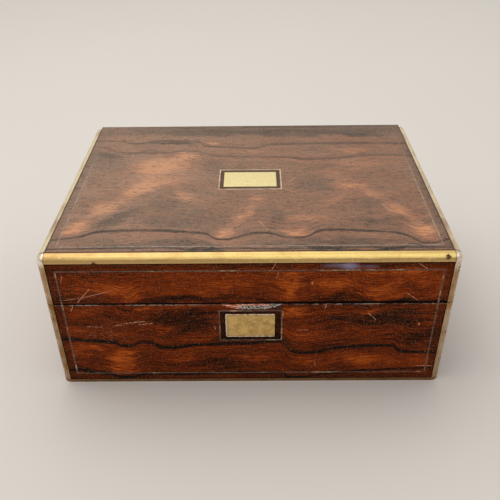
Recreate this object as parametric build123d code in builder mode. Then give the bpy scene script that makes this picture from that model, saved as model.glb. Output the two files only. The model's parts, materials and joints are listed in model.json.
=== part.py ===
"""Brass-bound stationery box with a hinged lid, a lock, a letter rack, a pen tray and two inkwells.

Millimetres. The origin is the middle of the face that the box rests on, +Z is up, the front faces -Y
and the width runs along X.
"""

from math import cos, radians, sin
import os

from build123d import *

os.makedirs("parts", exist_ok=True)

# Overall size
width = 305.0
depth = 224.0
height = 124.5
seam_height = 81.0
seam_gap = 0.4

# Boards and veneer
veneer = 1.5
wall_board = 9.5
top_board = 8.0
bottom_board_thickness = 8.0
foot_cloth = 0.8
foot_cloth_margin = 7.0
base_tails = 4
lid_tails = 2
tail_share = 0.62
tail_splay = 1.6

# Brass edging, foot band and stringing
edge_radius = 6.0
edging_gap = 0.1
foot_height = 3.0
line_width = 1.0
line_depth = 1.0
line_margin = 6.75

# Plates on the lid and on the front
plate_depth = 1.2
lid_plate_length = 44.5
lid_plate_width = 25.5
lid_plate_x = 0.5
lid_plate_y = 1.5
front_plate_length = 38.8
front_plate_height = 23.4
front_plate_x = 0.6
front_plate_z = 59.7
front_band_across = 4.2
front_band_up = 3.0
lid_band_across = 3.7
lid_band_along = 4.25
repair_length = 47.4
repair_drop = 5.4
repair_slope = 18.5
repair_x = 1.1
repair_recess = 0.3

# Hinges
hinge_spacing = 170.0
leaf_length = 50.0
leaf_width = 9.0
leaf_thickness = 1.5
knuckle_radius = 3.0
knuckle_count = 3
knuckle_gap = 0.2
knuckle_clearance = 0.3
hinge_axis_out = 1.0
hinge_pin_radius = 1.25
pin_clearance = 0.05

# Screws
screw_spacing = 18.0
screw_count = 3
screw_sides = 12
screw_head_radius = 2.4
screw_shank_radius = 1.1
screw_length = 7.5
screw_clearance = 0.05

# Lock and link plate
lock_length = 52.0
lock_width = 8.0
lock_height = 22.0
lock_wall = 2.0
lock_side_wall = 1.0
lock_plate_length = 60.0
lock_plate_thickness = 1.5
staple_spacing = 24.0
staple_thickness = 2.0
staple_width = 5.0
staple_drop = 8.7
staple_foot = 1.2
eye_width = 3.0
eye_height = 4.0
slot_clearance = 0.4
bolt_travel = 5.0
bolt_bar_height = 3.0
bolt_finger_width = 2.4
bolt_finger_height = 3.0
bolt_post = 4.0
bolt_start_gap = 0.5
bolt_clearance = 0.3
bolt_seat_gap = 0.1

# Liner, linings and lid panel
liner = 3.0
lip_height = 4.0
lip_clearance = 0.35
liner_gap = 0.1
groove_depth = 1.0
floor_cloth = 0.8
lid_panel_thickness = 5.5
lid_panel_gap = 1.0
lid_panel_round = 2.5

# Letter rack
partition = 3.0
partition_top = 80.0
divider_places = (20.0, 60.0)
divider_tops = (88.0, 94.0)
divider_dip = 12.0
divider_dip_half = 70.0
divider_end_gap = 0.1

# Pen tray and its ledges
tray_gap = 0.3
tray_width = 46.0
tray_wall = 3.0
tray_bottom = 36.0
tray_top = 78.0
tray_floor = 3.0
ledge_width = 8.0
nib_bay_length = 42.0
nib_bay_depth = 24.0
trough_radius = 20.0

# Inkwells
well_fit = 0.75
well_height = 28.0
well_corner = 4.5
well_shoulder = 3.5
well_bore_radius = 8.5
well_bore_depth = 22.0
collar_radius = 11.0
collar_wall = 2.4
collar_height = 4.0
cap_gap = 0.2
cap_edge = 3.0
cap_bevel_height = 2.0
cap_top_radius = 7.5
cap_axis_out = 1.9
cap_knuckle_radius = 1.6
cap_knuckle_half = 2.2
cap_ear_gap = 0.3
cap_ear_width = 2.5
cap_pin_radius = 0.8

# Places that follow from the sizes above
half_width = width / 2
half_depth = depth / 2
carcass_x = half_width - veneer
carcass_y = half_depth - veneer
inner_x = carcass_x - wall_board
inner_y = carcass_y - wall_board
flat_x = half_width - edge_radius
flat_y = half_depth - edge_radius
flat_z = height - edge_radius
base_rim = seam_height - seam_gap / 2
lid_rim = seam_height + seam_gap / 2
floor_top = foot_cloth + bottom_board_thickness
lining_top = floor_top + floor_cloth
ceiling = height - veneer - top_board
lip_top = base_rim + lip_height
well_x = inner_x - liner
well_y = inner_y - liner
line_x = flat_x - line_margin
line_front = -flat_y + line_margin
line_back = half_depth - line_margin
line_top = flat_z - line_margin
line_bottom = foot_height + line_margin
hinge_axis_y = half_depth + hinge_axis_out
hinge_edge_y = hinge_axis_y - knuckle_radius - knuckle_gap
leaf_front_y = half_depth - leaf_width
hinge_places = (-hinge_spacing / 2, hinge_spacing / 2)
knuckle_length = leaf_length / knuckle_count
screw_y = (leaf_front_y + hinge_edge_y) / 2
lock_y = -(inner_y + lock_width / 2)
lock_top = base_rim - lock_plate_thickness
bolt_floor = lock_top - lock_height + lock_wall
staple_places = (-staple_spacing / 2, staple_spacing / 2)
eye_bottom = lid_rim - staple_drop + staple_foot
tray_half_length = well_x - 2 * tray_gap
tray_front = -(well_y - tray_gap)
tray_back = tray_front + tray_width
tray_y = (tray_front + tray_back) / 2
bay_size = tray_width - 2 * tray_wall
bay_x = tray_half_length - tray_wall - bay_size / 2
bay_floor = tray_bottom + tray_floor
partition_y = tray_back + tray_gap + partition / 2
trough_end = bay_x - bay_size / 2 - tray_wall
nib_start = trough_end - nib_bay_length
divider_half_length = well_x + groove_depth - divider_end_gap
well_size = bay_size - 2 * well_fit
well_top = bay_floor + well_height
collar_top = well_top + collar_height
cap_bottom = collar_top + cap_gap
cap_axis_y = tray_y + collar_radius + cap_axis_out
cap_axis_z = cap_bottom


def keep(piece, name):
    """Labels a finished piece and writes it as its own file"""
    piece.part.label = name
    export_step(piece.part, f"parts/{name}.step")


# Shared outlines
with BuildSketch() as corner_squares:
    with GridLocations(width - edge_radius, depth - edge_radius, 2, 2):
        Rectangle(edge_radius, edge_radius)


def quarter_disc(x, y, start):
    """Section of the quarter-round brass about its inner corner"""
    with BuildSketch() as sector:
        with BuildLine():
            arc = CenterArc((x, y), edge_radius, start, 90)
            Line(arc @ 1, (x, y))
            Line((x, y), arc @ 0)
        make_face()
    return sector.sketch


def tail_outline(low, high, count):
    """Dovetails at both ends of a side board, drawn with the depth across and the height up"""
    pitch = (high - low) / count
    neck = pitch * tail_share / 2
    with BuildSketch() as tails:
        for index in range(count):
            middle = low + (index + 0.5) * pitch
            with BuildLine():
                Polyline(
                    (inner_y, middle - neck),
                    (carcass_y, middle - neck - tail_splay),
                    (carcass_y, middle + neck + tail_splay),
                    (inner_y, middle + neck),
                    close=True,
                )
            make_face()
        mirror(about=Plane.YZ)
    return tails.sketch


def frame_line(length, breadth):
    """Outline of an inlaid line, half its width to each side of the given rectangle"""
    with BuildSketch() as frame:
        Rectangle(length + line_width, breadth + line_width)
        Rectangle(length - line_width, breadth - line_width, mode=Mode.SUBTRACT)
    return frame.sketch


def front_plate_frame():
    """Line round the front plate"""
    return frame_line(
        front_plate_length + 2 * front_band_across,
        front_plate_height + 2 * front_band_up,
    )


def lid_top_lines():
    """Lines on the lid: one near its edges and one round the plate"""
    with BuildSketch() as lines:
        with Locations((0, (line_front + line_back) / 2)):
            add(frame_line(2 * line_x, line_back - line_front))
        with Locations((lid_plate_x, lid_plate_y)):
            add(
                frame_line(
                    lid_plate_length + 2 * lid_band_across,
                    lid_plate_width + 2 * lid_band_along,
                )
            )
    return lines.sketch


def open_frame(edge_z, closed_z):
    """Front line with its two uprights, open at the seam and closed by a cross line"""
    outer = closed_z + line_width / 2 if closed_z > edge_z else closed_z - line_width / 2
    inner = closed_z - line_width / 2 if closed_z > edge_z else closed_z + line_width / 2
    with BuildSketch() as frame:
        with Locations((0, (edge_z + outer) / 2)):
            Rectangle(2 * line_x + line_width, abs(outer - edge_z))
        with Locations((0, (edge_z + inner) / 2)):
            Rectangle(2 * line_x - line_width, abs(inner - edge_z), mode=Mode.SUBTRACT)
    return frame.sketch


def repair_outline():
    """Break in the rim above the front plate, sloping down from its left end"""
    left = repair_x - repair_length / 2
    right = repair_x + repair_length / 2
    floor = base_rim - repair_drop
    with BuildSketch() as outline:
        with BuildLine():
            slope = TangentArc((left + repair_slope, floor), (left, base_rim), tangent=(-1, 0))
            Polyline(slope @ 1, (right, base_rim), (right, floor), slope @ 0)
        make_face()
    return outline.sketch


def hinge_housings(low, high):
    """Boxes that the hinge leaves are let into"""
    with BuildPart() as housings:
        with BuildSketch(Plane.XY.offset(low)):
            for place in hinge_places:
                with Locations((place, half_depth - leaf_width / 2)):
                    Rectangle(leaf_length, leaf_width)
        extrude(amount=high - low)
    return housings.part


def hinge_hollows():
    """Round hollows that leave room for the knuckles"""
    with BuildPart() as hollows:
        for place in hinge_places:
            with BuildSketch(Plane.YZ.offset(place - leaf_length / 2)):
                with Locations((hinge_axis_y, seam_height)):
                    Circle(knuckle_radius + knuckle_clearance)
            extrude(amount=leaf_length)
    return hollows.part


def screw_points(level):
    """Places of the screws through the leaves at the given level"""
    offsets = [(index - (screw_count - 1) / 2) * screw_spacing for index in range(screw_count)]
    return [(place + offset, screw_y, level) for place in hinge_places for offset in offsets]


def screw_places(level, inward):
    """Planes on the screws' heads, with their normals along the shanks"""
    return [Plane(origin=point, z_dir=(0, 0, inward)) for point in screw_points(level)]


def screw_body(head_radius, shank_radius, length):
    """Flat head as deep as a leaf and a straight shank, both with few sides"""
    sections = ((0, head_radius), (leaf_thickness, shank_radius), (length, shank_radius))
    with BuildPart() as body:
        for level, radius in sections:
            with BuildSketch(Plane.XY.offset(level)):
                RegularPolygon(radius, side_count=screw_sides)
        loft(ruled=True)
    return body.part


def screw_holes(level, inward):
    """Countersunk holes for the hinge screws, through a leaf and into the wood"""
    hole = screw_body(
        screw_head_radius + screw_clearance,
        screw_shank_radius + screw_clearance,
        screw_length + screw_clearance,
    )
    with BuildPart() as holes:
        with Locations(*screw_places(level, inward)):
            add(hole)
    return holes.part


# Boards of the base and the lid
def end_board(side, low, high, tail_count):
    """Left or right board, with a row of dovetails at each end"""
    start = carcass_x - wall_board if side > 0 else -carcass_x
    with BuildPart() as board:
        with BuildSketch(Plane.YZ.offset(start)):
            with Locations((0, (low + high) / 2)):
                Rectangle(2 * inner_y, high - low)
            add(tail_outline(low, high, tail_count))
        extrude(amount=wall_board)
        with BuildSketch(Plane.XY.offset(low)):
            add(corner_squares.sketch)
        extrude(amount=high - low, mode=Mode.SUBTRACT)
    return board


def long_board(side, low, high, tail_count):
    """Front or back board, with sockets for the dovetails"""
    with BuildPart() as board:
        with BuildSketch(Plane.XY.offset(low)):
            with Locations((0, side * (carcass_y - wall_board / 2))):
                Rectangle(2 * carcass_x, wall_board)
            add(corner_squares.sketch, mode=Mode.SUBTRACT)
        extrude(amount=high - low)
        for start in (-carcass_x, carcass_x - wall_board):
            with BuildSketch(Plane.YZ.offset(start)):
                add(tail_outline(low, high, tail_count))
            extrude(amount=wall_board, mode=Mode.SUBTRACT)
    return board


for side, name in ((-1, "left"), (1, "right")):
    keep(end_board(side, floor_top, base_rim, base_tails), f"base_{name}_board")
    keep(end_board(side, lid_rim, ceiling, lid_tails), f"lid_{name}_board")

with BuildPart() as base_back_board:
    add(long_board(1, floor_top, base_rim, base_tails).part)
    add(hinge_housings(base_rim - leaf_thickness, base_rim), mode=Mode.SUBTRACT)
    add(hinge_hollows(), mode=Mode.SUBTRACT)
    add(screw_holes(base_rim, inward=-1), mode=Mode.SUBTRACT)
keep(base_back_board, "base_back_board")

with BuildPart() as lid_back_board:
    add(long_board(1, lid_rim, ceiling, lid_tails).part)
    add(hinge_housings(lid_rim, lid_rim + leaf_thickness), mode=Mode.SUBTRACT)
    add(hinge_hollows(), mode=Mode.SUBTRACT)
    add(screw_holes(lid_rim, inward=1), mode=Mode.SUBTRACT)
keep(lid_back_board, "lid_back_board")

with BuildPart() as base_front_board:
    add(long_board(-1, floor_top, base_rim, base_tails).part)
    with BuildSketch(Plane.XY.offset(lock_top - lock_height)):
        with Locations((0, lock_y)):
            Rectangle(lock_length, lock_width)
    extrude(amount=lock_height, mode=Mode.SUBTRACT)
    with BuildSketch(Plane.XY.offset(lock_top)):
        with Locations((0, lock_y)):
            Rectangle(lock_plate_length, lock_width)
    extrude(amount=lock_plate_thickness, mode=Mode.SUBTRACT)
keep(base_front_board, "base_front_board")

with BuildPart() as lid_front_board:
    add(long_board(-1, lid_rim, ceiling, lid_tails).part)
    with BuildSketch(Plane.XY.offset(lid_rim)):
        with Locations((0, lock_y)):
            Rectangle(lock_plate_length, lock_width)
    extrude(amount=lock_plate_thickness, mode=Mode.SUBTRACT)
keep(lid_front_board, "lid_front_board")

with BuildPart() as bottom_board:
    with BuildSketch(Plane.XY.offset(foot_cloth)):
        Rectangle(2 * carcass_x, 2 * carcass_y)
        add(corner_squares.sketch, mode=Mode.SUBTRACT)
    extrude(amount=bottom_board_thickness)
keep(bottom_board, "bottom_board")

with BuildPart() as lid_top_board:
    with BuildSketch(Plane.XY.offset(ceiling)):
        Rectangle(2 * carcass_x, 2 * carcass_y)
        add(corner_squares.sketch, mode=Mode.SUBTRACT)
    extrude(amount=flat_z - ceiling)
    with BuildSketch(Plane.XY.offset(flat_z)):
        with Locations((0, (carcass_y - flat_y) / 2)):
            Rectangle(2 * flat_x, carcass_y + flat_y)
    extrude(amount=height - veneer - flat_z)
keep(lid_top_board, "lid_top_board")

# Veneers of the base
with BuildPart() as base_front_veneer:
    with BuildSketch(Plane.XZ.offset(half_depth)):
        with Locations((0, (foot_height + base_rim) / 2)):
            Rectangle(2 * flat_x, base_rim - foot_height)
        add(repair_outline(), mode=Mode.SUBTRACT)
    extrude(amount=-veneer)
    with BuildSketch(Plane.XZ.offset(half_depth)):
        add(open_frame(base_rim, line_bottom))
        with Locations((front_plate_x, front_plate_z)):
            add(front_plate_frame())
    extrude(amount=-line_depth, mode=Mode.SUBTRACT)
    with BuildSketch(Plane.XZ.offset(half_depth)):
        with Locations((front_plate_x, front_plate_z)):
            Rectangle(front_plate_length, front_plate_height)
    extrude(amount=-plate_depth, mode=Mode.SUBTRACT)
keep(base_front_veneer, "base_front_veneer")

with BuildPart() as base_back_veneer:
    with BuildSketch(Plane.XZ.offset(-half_depth)):
        with Locations((0, (foot_height + base_rim) / 2)):
            Rectangle(2 * flat_x, base_rim - foot_height)
    extrude(amount=veneer)
    add(hinge_housings(base_rim - leaf_thickness, base_rim), mode=Mode.SUBTRACT)
    add(hinge_hollows(), mode=Mode.SUBTRACT)
keep(base_back_veneer, "base_back_veneer")


def side_veneer(side, low, high):
    """Left or right veneer between the corner strips"""
    with BuildPart() as sheet:
        with BuildSketch(Plane.YZ.offset(side * half_width)):
            with Locations((0, (low + high) / 2)):
                Rectangle(2 * flat_y, high - low)
        extrude(amount=-side * veneer)
    return sheet


for side, name in ((-1, "left"), (1, "right")):
    keep(side_veneer(side, foot_height, base_rim), f"base_{name}_veneer")
    keep(side_veneer(side, lid_rim, flat_z), f"lid_{name}_veneer")

# Veneers of the lid
with BuildPart() as lid_front_veneer:
    with BuildSketch(Plane.XZ.offset(half_depth)):
        with Locations((0, (lid_rim + flat_z) / 2)):
            Rectangle(2 * flat_x, flat_z - lid_rim)
    extrude(amount=-veneer)
    with BuildSketch(Plane.XZ.offset(half_depth)):
        add(open_frame(lid_rim, line_top))
    extrude(amount=-line_depth, mode=Mode.SUBTRACT)
keep(lid_front_veneer, "lid_front_veneer")

with BuildPart() as lid_back_veneer:
    with BuildSketch(Plane.XZ.offset(-half_depth)):
        with Locations((0, (lid_rim + height - veneer) / 2)):
            Rectangle(2 * flat_x, height - veneer - lid_rim)
    extrude(amount=veneer)
    add(hinge_housings(lid_rim, lid_rim + leaf_thickness), mode=Mode.SUBTRACT)
    add(hinge_hollows(), mode=Mode.SUBTRACT)
keep(lid_back_veneer, "lid_back_veneer")

with BuildPart() as lid_top_veneer:
    with BuildSketch(Plane.XY.offset(height)):
        with Locations((0, (half_depth - flat_y) / 2)):
            Rectangle(2 * flat_x, half_depth + flat_y)
    extrude(amount=-veneer)
    with BuildSketch(Plane.XY.offset(height)):
        add(lid_top_lines())
    extrude(amount=-line_depth, mode=Mode.SUBTRACT)
    with BuildSketch(Plane.XY.offset(height)):
        with Locations((lid_plate_x, lid_plate_y)):
            Rectangle(lid_plate_length, lid_plate_width)
    extrude(amount=-plate_depth, mode=Mode.SUBTRACT)
keep(lid_top_veneer, "lid_top_veneer")

# Inlaid lines, plates and the repair of the rim
with BuildPart() as base_stringing:
    with BuildSketch(Plane.XZ.offset(half_depth)):
        add(open_frame(base_rim, line_bottom))
        with Locations((front_plate_x, front_plate_z)):
            add(front_plate_frame())
    extrude(amount=-line_depth)
keep(base_stringing, "base_stringing")

with BuildPart() as lid_stringing:
    with BuildSketch(Plane.XZ.offset(half_depth)):
        add(open_frame(lid_rim, line_top))
    extrude(amount=-line_depth)
    with BuildSketch(Plane.XY.offset(height)):
        add(lid_top_lines())
    extrude(amount=-line_depth)
keep(lid_stringing, "lid_stringing")

with BuildPart() as front_plate:
    with BuildSketch(Plane.XZ.offset(half_depth)):
        with Locations((front_plate_x, front_plate_z)):
            Rectangle(front_plate_length, front_plate_height)
    extrude(amount=-plate_depth)
keep(front_plate, "front_plate")

with BuildPart() as lid_plate:
    with BuildSketch(Plane.XY.offset(height)):
        with Locations((lid_plate_x, lid_plate_y)):
            Rectangle(lid_plate_length, lid_plate_width)
    extrude(amount=-plate_depth)
keep(lid_plate, "lid_plate")

with BuildPart() as rim_repair:
    with BuildSketch(Plane.XZ.offset(half_depth - repair_recess)):
        add(repair_outline())
    extrude(amount=-(veneer - repair_recess))
keep(rim_repair, "rim_repair")


# Brass edging
def corner_strip(side, end, low, high, ball_end):
    """Upright quarter-round strip, with an eighth of a ball on top where the top edging meets it"""
    x = side * flat_x
    y = end * flat_y
    start = {(1, 1): 0, (-1, 1): 90, (-1, -1): 180, (1, -1): 270}[(side, end)]
    along = (cos(radians(start)), sin(radians(start)), 0)
    across = (sin(radians(start)), -cos(radians(start)), 0)
    with BuildPart() as strip:
        with BuildSketch(Plane.XY.offset(low)):
            add(quarter_disc(x, y, start))
        extrude(amount=high - low)
        if ball_end:
            with BuildSketch(Plane(origin=(x, y, high), x_dir=along, z_dir=across)):
                add(quarter_disc(0, 0, 0))
            revolve(axis=Axis((x, y, high), (0, 0, 1)), revolution_arc=90)
    return strip


for side, side_name in ((-1, "left"), (1, "right")):
    for end, end_name in ((-1, "front"), (1, "back")):
        place = f"{end_name}_{side_name}"
        keep(corner_strip(side, end, foot_height, base_rim, False), f"base_corner_{place}")
        keep(corner_strip(side, end, lid_rim, flat_z, True), f"lid_corner_{place}")

with BuildPart() as lid_front_edging:
    with BuildSketch(Plane.YZ.offset(-flat_x + edging_gap)):
        add(quarter_disc(-flat_y, flat_z, 90))
    extrude(amount=2 * (flat_x - edging_gap))
keep(lid_front_edging, "lid_front_edging")

for side, name in ((-1, "left"), (1, "right")):
    with BuildPart() as lid_side_edging:
        with BuildSketch(Plane.XZ.offset(-flat_y + edging_gap)):
            add(quarter_disc(side * flat_x, flat_z, 0 if side > 0 else 90))
        extrude(amount=2 * (flat_y - edging_gap))
    keep(lid_side_edging, f"lid_{name}_edging")

with BuildPart() as foot_band:
    with BuildSketch():
        with Locations((0, veneer / 2 - half_depth)):
            Rectangle(2 * flat_x, veneer)
        add(quarter_disc(-flat_x, -flat_y, 180))
        add(quarter_disc(flat_x, -flat_y, 270))
        mirror(about=Plane.XZ)
        for side in (-1, 1):
            with Locations((side * (half_width - veneer / 2), 0)):
                Rectangle(veneer, 2 * (flat_y - edging_gap))
    extrude(amount=foot_height)
keep(foot_band, "foot_band")

with BuildPart() as foot_covering:
    with BuildSketch():
        Rectangle(width - 2 * foot_cloth_margin, depth - 2 * foot_cloth_margin)
    extrude(amount=foot_cloth)
keep(foot_covering, "foot_covering")


# Hinges
def hinge_leaves(low, first, screw_level, inward):
    """The two leaves of one body, with every second knuckle"""
    reach = knuckle_length - knuckle_gap
    with BuildPart() as leaves:
        for place in hinge_places:
            middles = [
                place - leaf_length / 2 + (index + 0.5) * knuckle_length
                for index in range(first, knuckle_count, 2)
            ]
            with BuildSketch(Plane.XY.offset(low)):
                with Locations((place, screw_y)):
                    Rectangle(leaf_length, hinge_edge_y - leaf_front_y)
                for middle in middles:
                    with Locations((middle, (leaf_front_y + hinge_axis_y) / 2)):
                        Rectangle(reach, hinge_axis_y - leaf_front_y)
            extrude(amount=leaf_thickness)
            for middle in middles:
                with BuildSketch(Plane.YZ.offset(middle - reach / 2)):
                    with Locations((hinge_axis_y, seam_height)):
                        Circle(knuckle_radius)
                extrude(amount=reach)
            with BuildSketch(Plane.YZ.offset(place - leaf_length / 2)):
                with Locations((hinge_axis_y, seam_height)):
                    Circle(hinge_pin_radius + pin_clearance)
            extrude(amount=leaf_length, mode=Mode.SUBTRACT)
        add(screw_holes(screw_level, inward), mode=Mode.SUBTRACT)
    return leaves


keep(hinge_leaves(base_rim - leaf_thickness, 0, base_rim, -1), "hinge_base_leaves")
keep(hinge_leaves(lid_rim, 1, lid_rim, 1), "hinge_lid_leaves")

with BuildPart() as hinge_pins:
    for place in hinge_places:
        with BuildSketch(Plane.YZ.offset(place - leaf_length / 2)):
            with Locations((hinge_axis_y, seam_height)):
                Circle(hinge_pin_radius)
        extrude(amount=leaf_length)
keep(hinge_pins, "hinge_pins")

for name, level, inward in (("base", base_rim, -1), ("lid", lid_rim, 1)):
    with BuildPart() as hinge_screws:
        with Locations(*screw_places(level, inward)):
            add(screw_body(screw_head_radius, screw_shank_radius, screw_length))
    keep(hinge_screws, f"{name}_hinge_screws")

# Lock: case with its rim plate, sliding bolt, and the link plate that the lid carries
with BuildPart() as lock_case:
    with BuildSketch(Plane.XY.offset(lock_top - lock_height)):
        with Locations((0, lock_y)):
            Rectangle(lock_length, lock_width)
    extrude(amount=lock_height)
    with BuildSketch(Plane.XY.offset(bolt_floor)):
        with Locations((0, lock_y)):
            Rectangle(lock_length - 2 * lock_wall, lock_width - 2 * lock_side_wall)
    extrude(amount=lock_top - bolt_floor, mode=Mode.SUBTRACT)
    with BuildSketch(Plane.XY.offset(lock_top)):
        with Locations((0, lock_y)):
            Rectangle(lock_plate_length, lock_width)
        with Locations(*[(place, lock_y) for place in staple_places]):
            Rectangle(
                staple_thickness + 2 * slot_clearance,
                staple_width + 2 * slot_clearance,
                mode=Mode.SUBTRACT,
            )
    extrude(amount=lock_plate_thickness)
keep(lock_case, "lock_case")

with BuildPart() as link_plate:
    with BuildSketch(Plane.XY.offset(lid_rim)):
        with Locations((0, lock_y)):
            Rectangle(lock_plate_length, lock_width)
    extrude(amount=lock_plate_thickness)
    with BuildSketch(Plane.XY.offset(lid_rim)):
        with Locations(*[(place, lock_y) for place in staple_places]):
            Rectangle(staple_thickness, staple_width)
    extrude(amount=-staple_drop)
    with BuildSketch(Plane.YZ.offset(-lock_length / 2)):
        with Locations((lock_y, eye_bottom + eye_height / 2)):
            Rectangle(eye_width, eye_height)
    extrude(amount=lock_length, mode=Mode.SUBTRACT)
keep(link_plate, "link_plate")

with BuildPart() as lock_bolt:
    posts = [place - staple_thickness / 2 - bolt_travel - bolt_clearance for place in staple_places]
    tips = [place - staple_thickness / 2 - bolt_start_gap for place in staple_places]
    bar_start = posts[0] - bolt_post
    bar_low = bolt_floor + bolt_seat_gap
    bar_width = lock_width - 2 * lock_side_wall - 2 * bolt_clearance
    finger_top = eye_bottom + (eye_height + bolt_finger_height) / 2
    with BuildSketch(Plane.XZ.offset(-lock_y - bar_width / 2)):
        with Locations(((bar_start + posts[1]) / 2, bar_low + bolt_bar_height / 2)):
            Rectangle(posts[1] - bar_start, bolt_bar_height)
    extrude(amount=bar_width)
    with BuildSketch(Plane.XZ.offset(-lock_y - bolt_finger_width / 2)):
        for post, tip in zip(posts, tips):
            with Locations((post - bolt_post / 2, (bar_low + finger_top) / 2)):
                Rectangle(bolt_post, finger_top - bar_low)
            with Locations(((post - bolt_post + tip) / 2, finger_top - bolt_finger_height / 2)):
                Rectangle(tip - post + bolt_post, bolt_finger_height)
    extrude(amount=bolt_finger_width)
keep(lock_bolt, "lock_bolt")

# Liner that stands above the rim, linings and the padded lid panel
with BuildPart() as well_liner:
    with BuildSketch(Plane.XY.offset(floor_top)):
        with GridLocations(0, 2 * inner_y - liner, 1, 2):
            Rectangle(2 * inner_x, liner)
        with GridLocations(2 * inner_x - liner, 0, 2, 1):
            Rectangle(liner, 2 * (well_y - liner_gap))
    extrude(amount=lip_top - floor_top)
    with BuildSketch(Plane.XY.offset(base_rim)):
        Rectangle(2 * inner_x, 2 * inner_y)
        Rectangle(2 * (inner_x - lip_clearance), 2 * (inner_y - lip_clearance), mode=Mode.SUBTRACT)
    extrude(amount=lip_height, mode=Mode.SUBTRACT)
    with BuildSketch(Plane.XY.offset(floor_top)):
        for y in (partition_y, *divider_places):
            with Locations((0, y)):
                Rectangle(2 * (well_x + groove_depth), partition)
    extrude(amount=lip_top - floor_top, mode=Mode.SUBTRACT)
keep(well_liner, "well_liner")

with BuildPart() as floor_lining:
    with BuildSketch(Plane.XY.offset(floor_top)):
        Rectangle(2 * well_x, 2 * well_y)
    extrude(amount=floor_cloth)
keep(floor_lining, "floor_lining")

with BuildPart() as lid_panel:
    with BuildSketch(Plane.XY.offset(ceiling)):
        Rectangle(2 * (inner_x - lid_panel_gap), 2 * (inner_y - lid_panel_gap))
    extrude(amount=-lid_panel_thickness)
    fillet(lid_panel.faces().sort_by(Axis.Z)[0].edges(), lid_panel_round)
keep(lid_panel, "lid_panel")

# Letter rack
with BuildPart() as rack_partition:
    with BuildSketch(Plane.XY.offset(lining_top)):
        with Locations((0, partition_y)):
            Rectangle(2 * divider_half_length, partition)
    extrude(amount=partition_top - lining_top)
keep(rack_partition, "rack_partition")

for place, top, name in zip(divider_places, divider_tops, ("front", "back")):
    with BuildPart() as letter_divider:
        with BuildSketch(Plane.XZ.offset(-place - partition / 2)):
            with BuildLine():
                Polyline(
                    (-divider_dip_half, top),
                    (-divider_half_length, top),
                    (-divider_half_length, lining_top),
                    (divider_half_length, lining_top),
                    (divider_half_length, top),
                    (divider_dip_half, top),
                )
                Spline(
                    (divider_dip_half, top),
                    (0, top - divider_dip),
                    (-divider_dip_half, top),
                    tangents=((-1, 0), (-1, 0)),
                )
            make_face()
        extrude(amount=partition)
    keep(letter_divider, f"letter_divider_{name}")

# Pen tray, with a bay at each end for an inkwell, a long trough for pens and a bay for nibs
with BuildPart() as tray_ledges:
    with BuildSketch(Plane.XY.offset(lining_top)):
        with Locations((0, (partition_y - partition / 2 - well_y) / 2)):
            with GridLocations(2 * well_x - ledge_width, 0, 2, 1):
                Rectangle(ledge_width, partition_y - partition / 2 + well_y)
    extrude(amount=tray_bottom - lining_top)
keep(tray_ledges, "tray_ledges")

with BuildPart() as pen_tray:
    with BuildSketch(Plane.XY.offset(tray_bottom)):
        with Locations((0, tray_y)):
            Rectangle(2 * tray_half_length, tray_width)
    extrude(amount=tray_top - tray_bottom)
    with BuildSketch(Plane.XY.offset(tray_top)):
        with Locations((0, tray_y)):
            with GridLocations(2 * bay_x, 0, 2, 1):
                Rectangle(bay_size, bay_size)
    extrude(amount=bay_floor - tray_top, mode=Mode.SUBTRACT)
    with BuildSketch(Plane.XY.offset(tray_top)):
        with Locations(((nib_start + trough_end) / 2, tray_y)):
            Rectangle(nib_bay_length, bay_size)
    extrude(amount=-nib_bay_depth, mode=Mode.SUBTRACT)
    with BuildSketch(Plane.YZ.offset(-trough_end)):
        with Locations((tray_y, tray_top)):
            Circle(trough_radius)
    extrude(amount=trough_end + nib_start - tray_wall, mode=Mode.SUBTRACT)
keep(pen_tray, "pen_tray")


# Inkwells: glass, collar and hinged cap
def glass_well(x):
    """Square glass with cut corners, a sloping shoulder and a round bore"""
    with BuildPart() as glass:
        with BuildSketch(Plane.XY.offset(bay_floor)) as block:
            with Locations((x, tray_y)):
                Rectangle(well_size, well_size)
            chamfer(block.vertices(), well_corner)
        extrude(amount=well_height)
        chamfer(glass.faces().sort_by(Axis.Z)[-1].edges(), well_shoulder)
        with BuildSketch(Plane.XY.offset(well_top)):
            with Locations((x, tray_y)):
                Circle(well_bore_radius)
        extrude(amount=-well_bore_depth, mode=Mode.SUBTRACT)
    return glass


def well_collar(x):
    """Ring on the neck, with two eight-sided ears that carry the pin of the cap"""
    ear_start = cap_knuckle_half + cap_ear_gap
    root_y = tray_y + collar_radius - collar_wall / 2
    with BuildPart() as collar:
        with BuildSketch(Plane.XY.offset(well_top)):
            with Locations((x, tray_y)):
                Circle(collar_radius)
                Circle(collar_radius - collar_wall, mode=Mode.SUBTRACT)
        extrude(amount=collar_height)
        for edge in (x - ear_start - cap_ear_width, x + ear_start):
            with BuildSketch(Plane.YZ.offset(edge)):
                with Locations(((root_y + cap_axis_y) / 2, collar_top - cap_knuckle_radius / 2)):
                    Rectangle(cap_axis_y - root_y, cap_knuckle_radius)
                with Locations((cap_axis_y, cap_axis_z)):
                    RegularPolygon(cap_knuckle_radius, side_count=8, major_radius=False)
                    Circle(cap_pin_radius + pin_clearance, mode=Mode.SUBTRACT)
            extrude(amount=cap_ear_width)
    return collar


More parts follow.
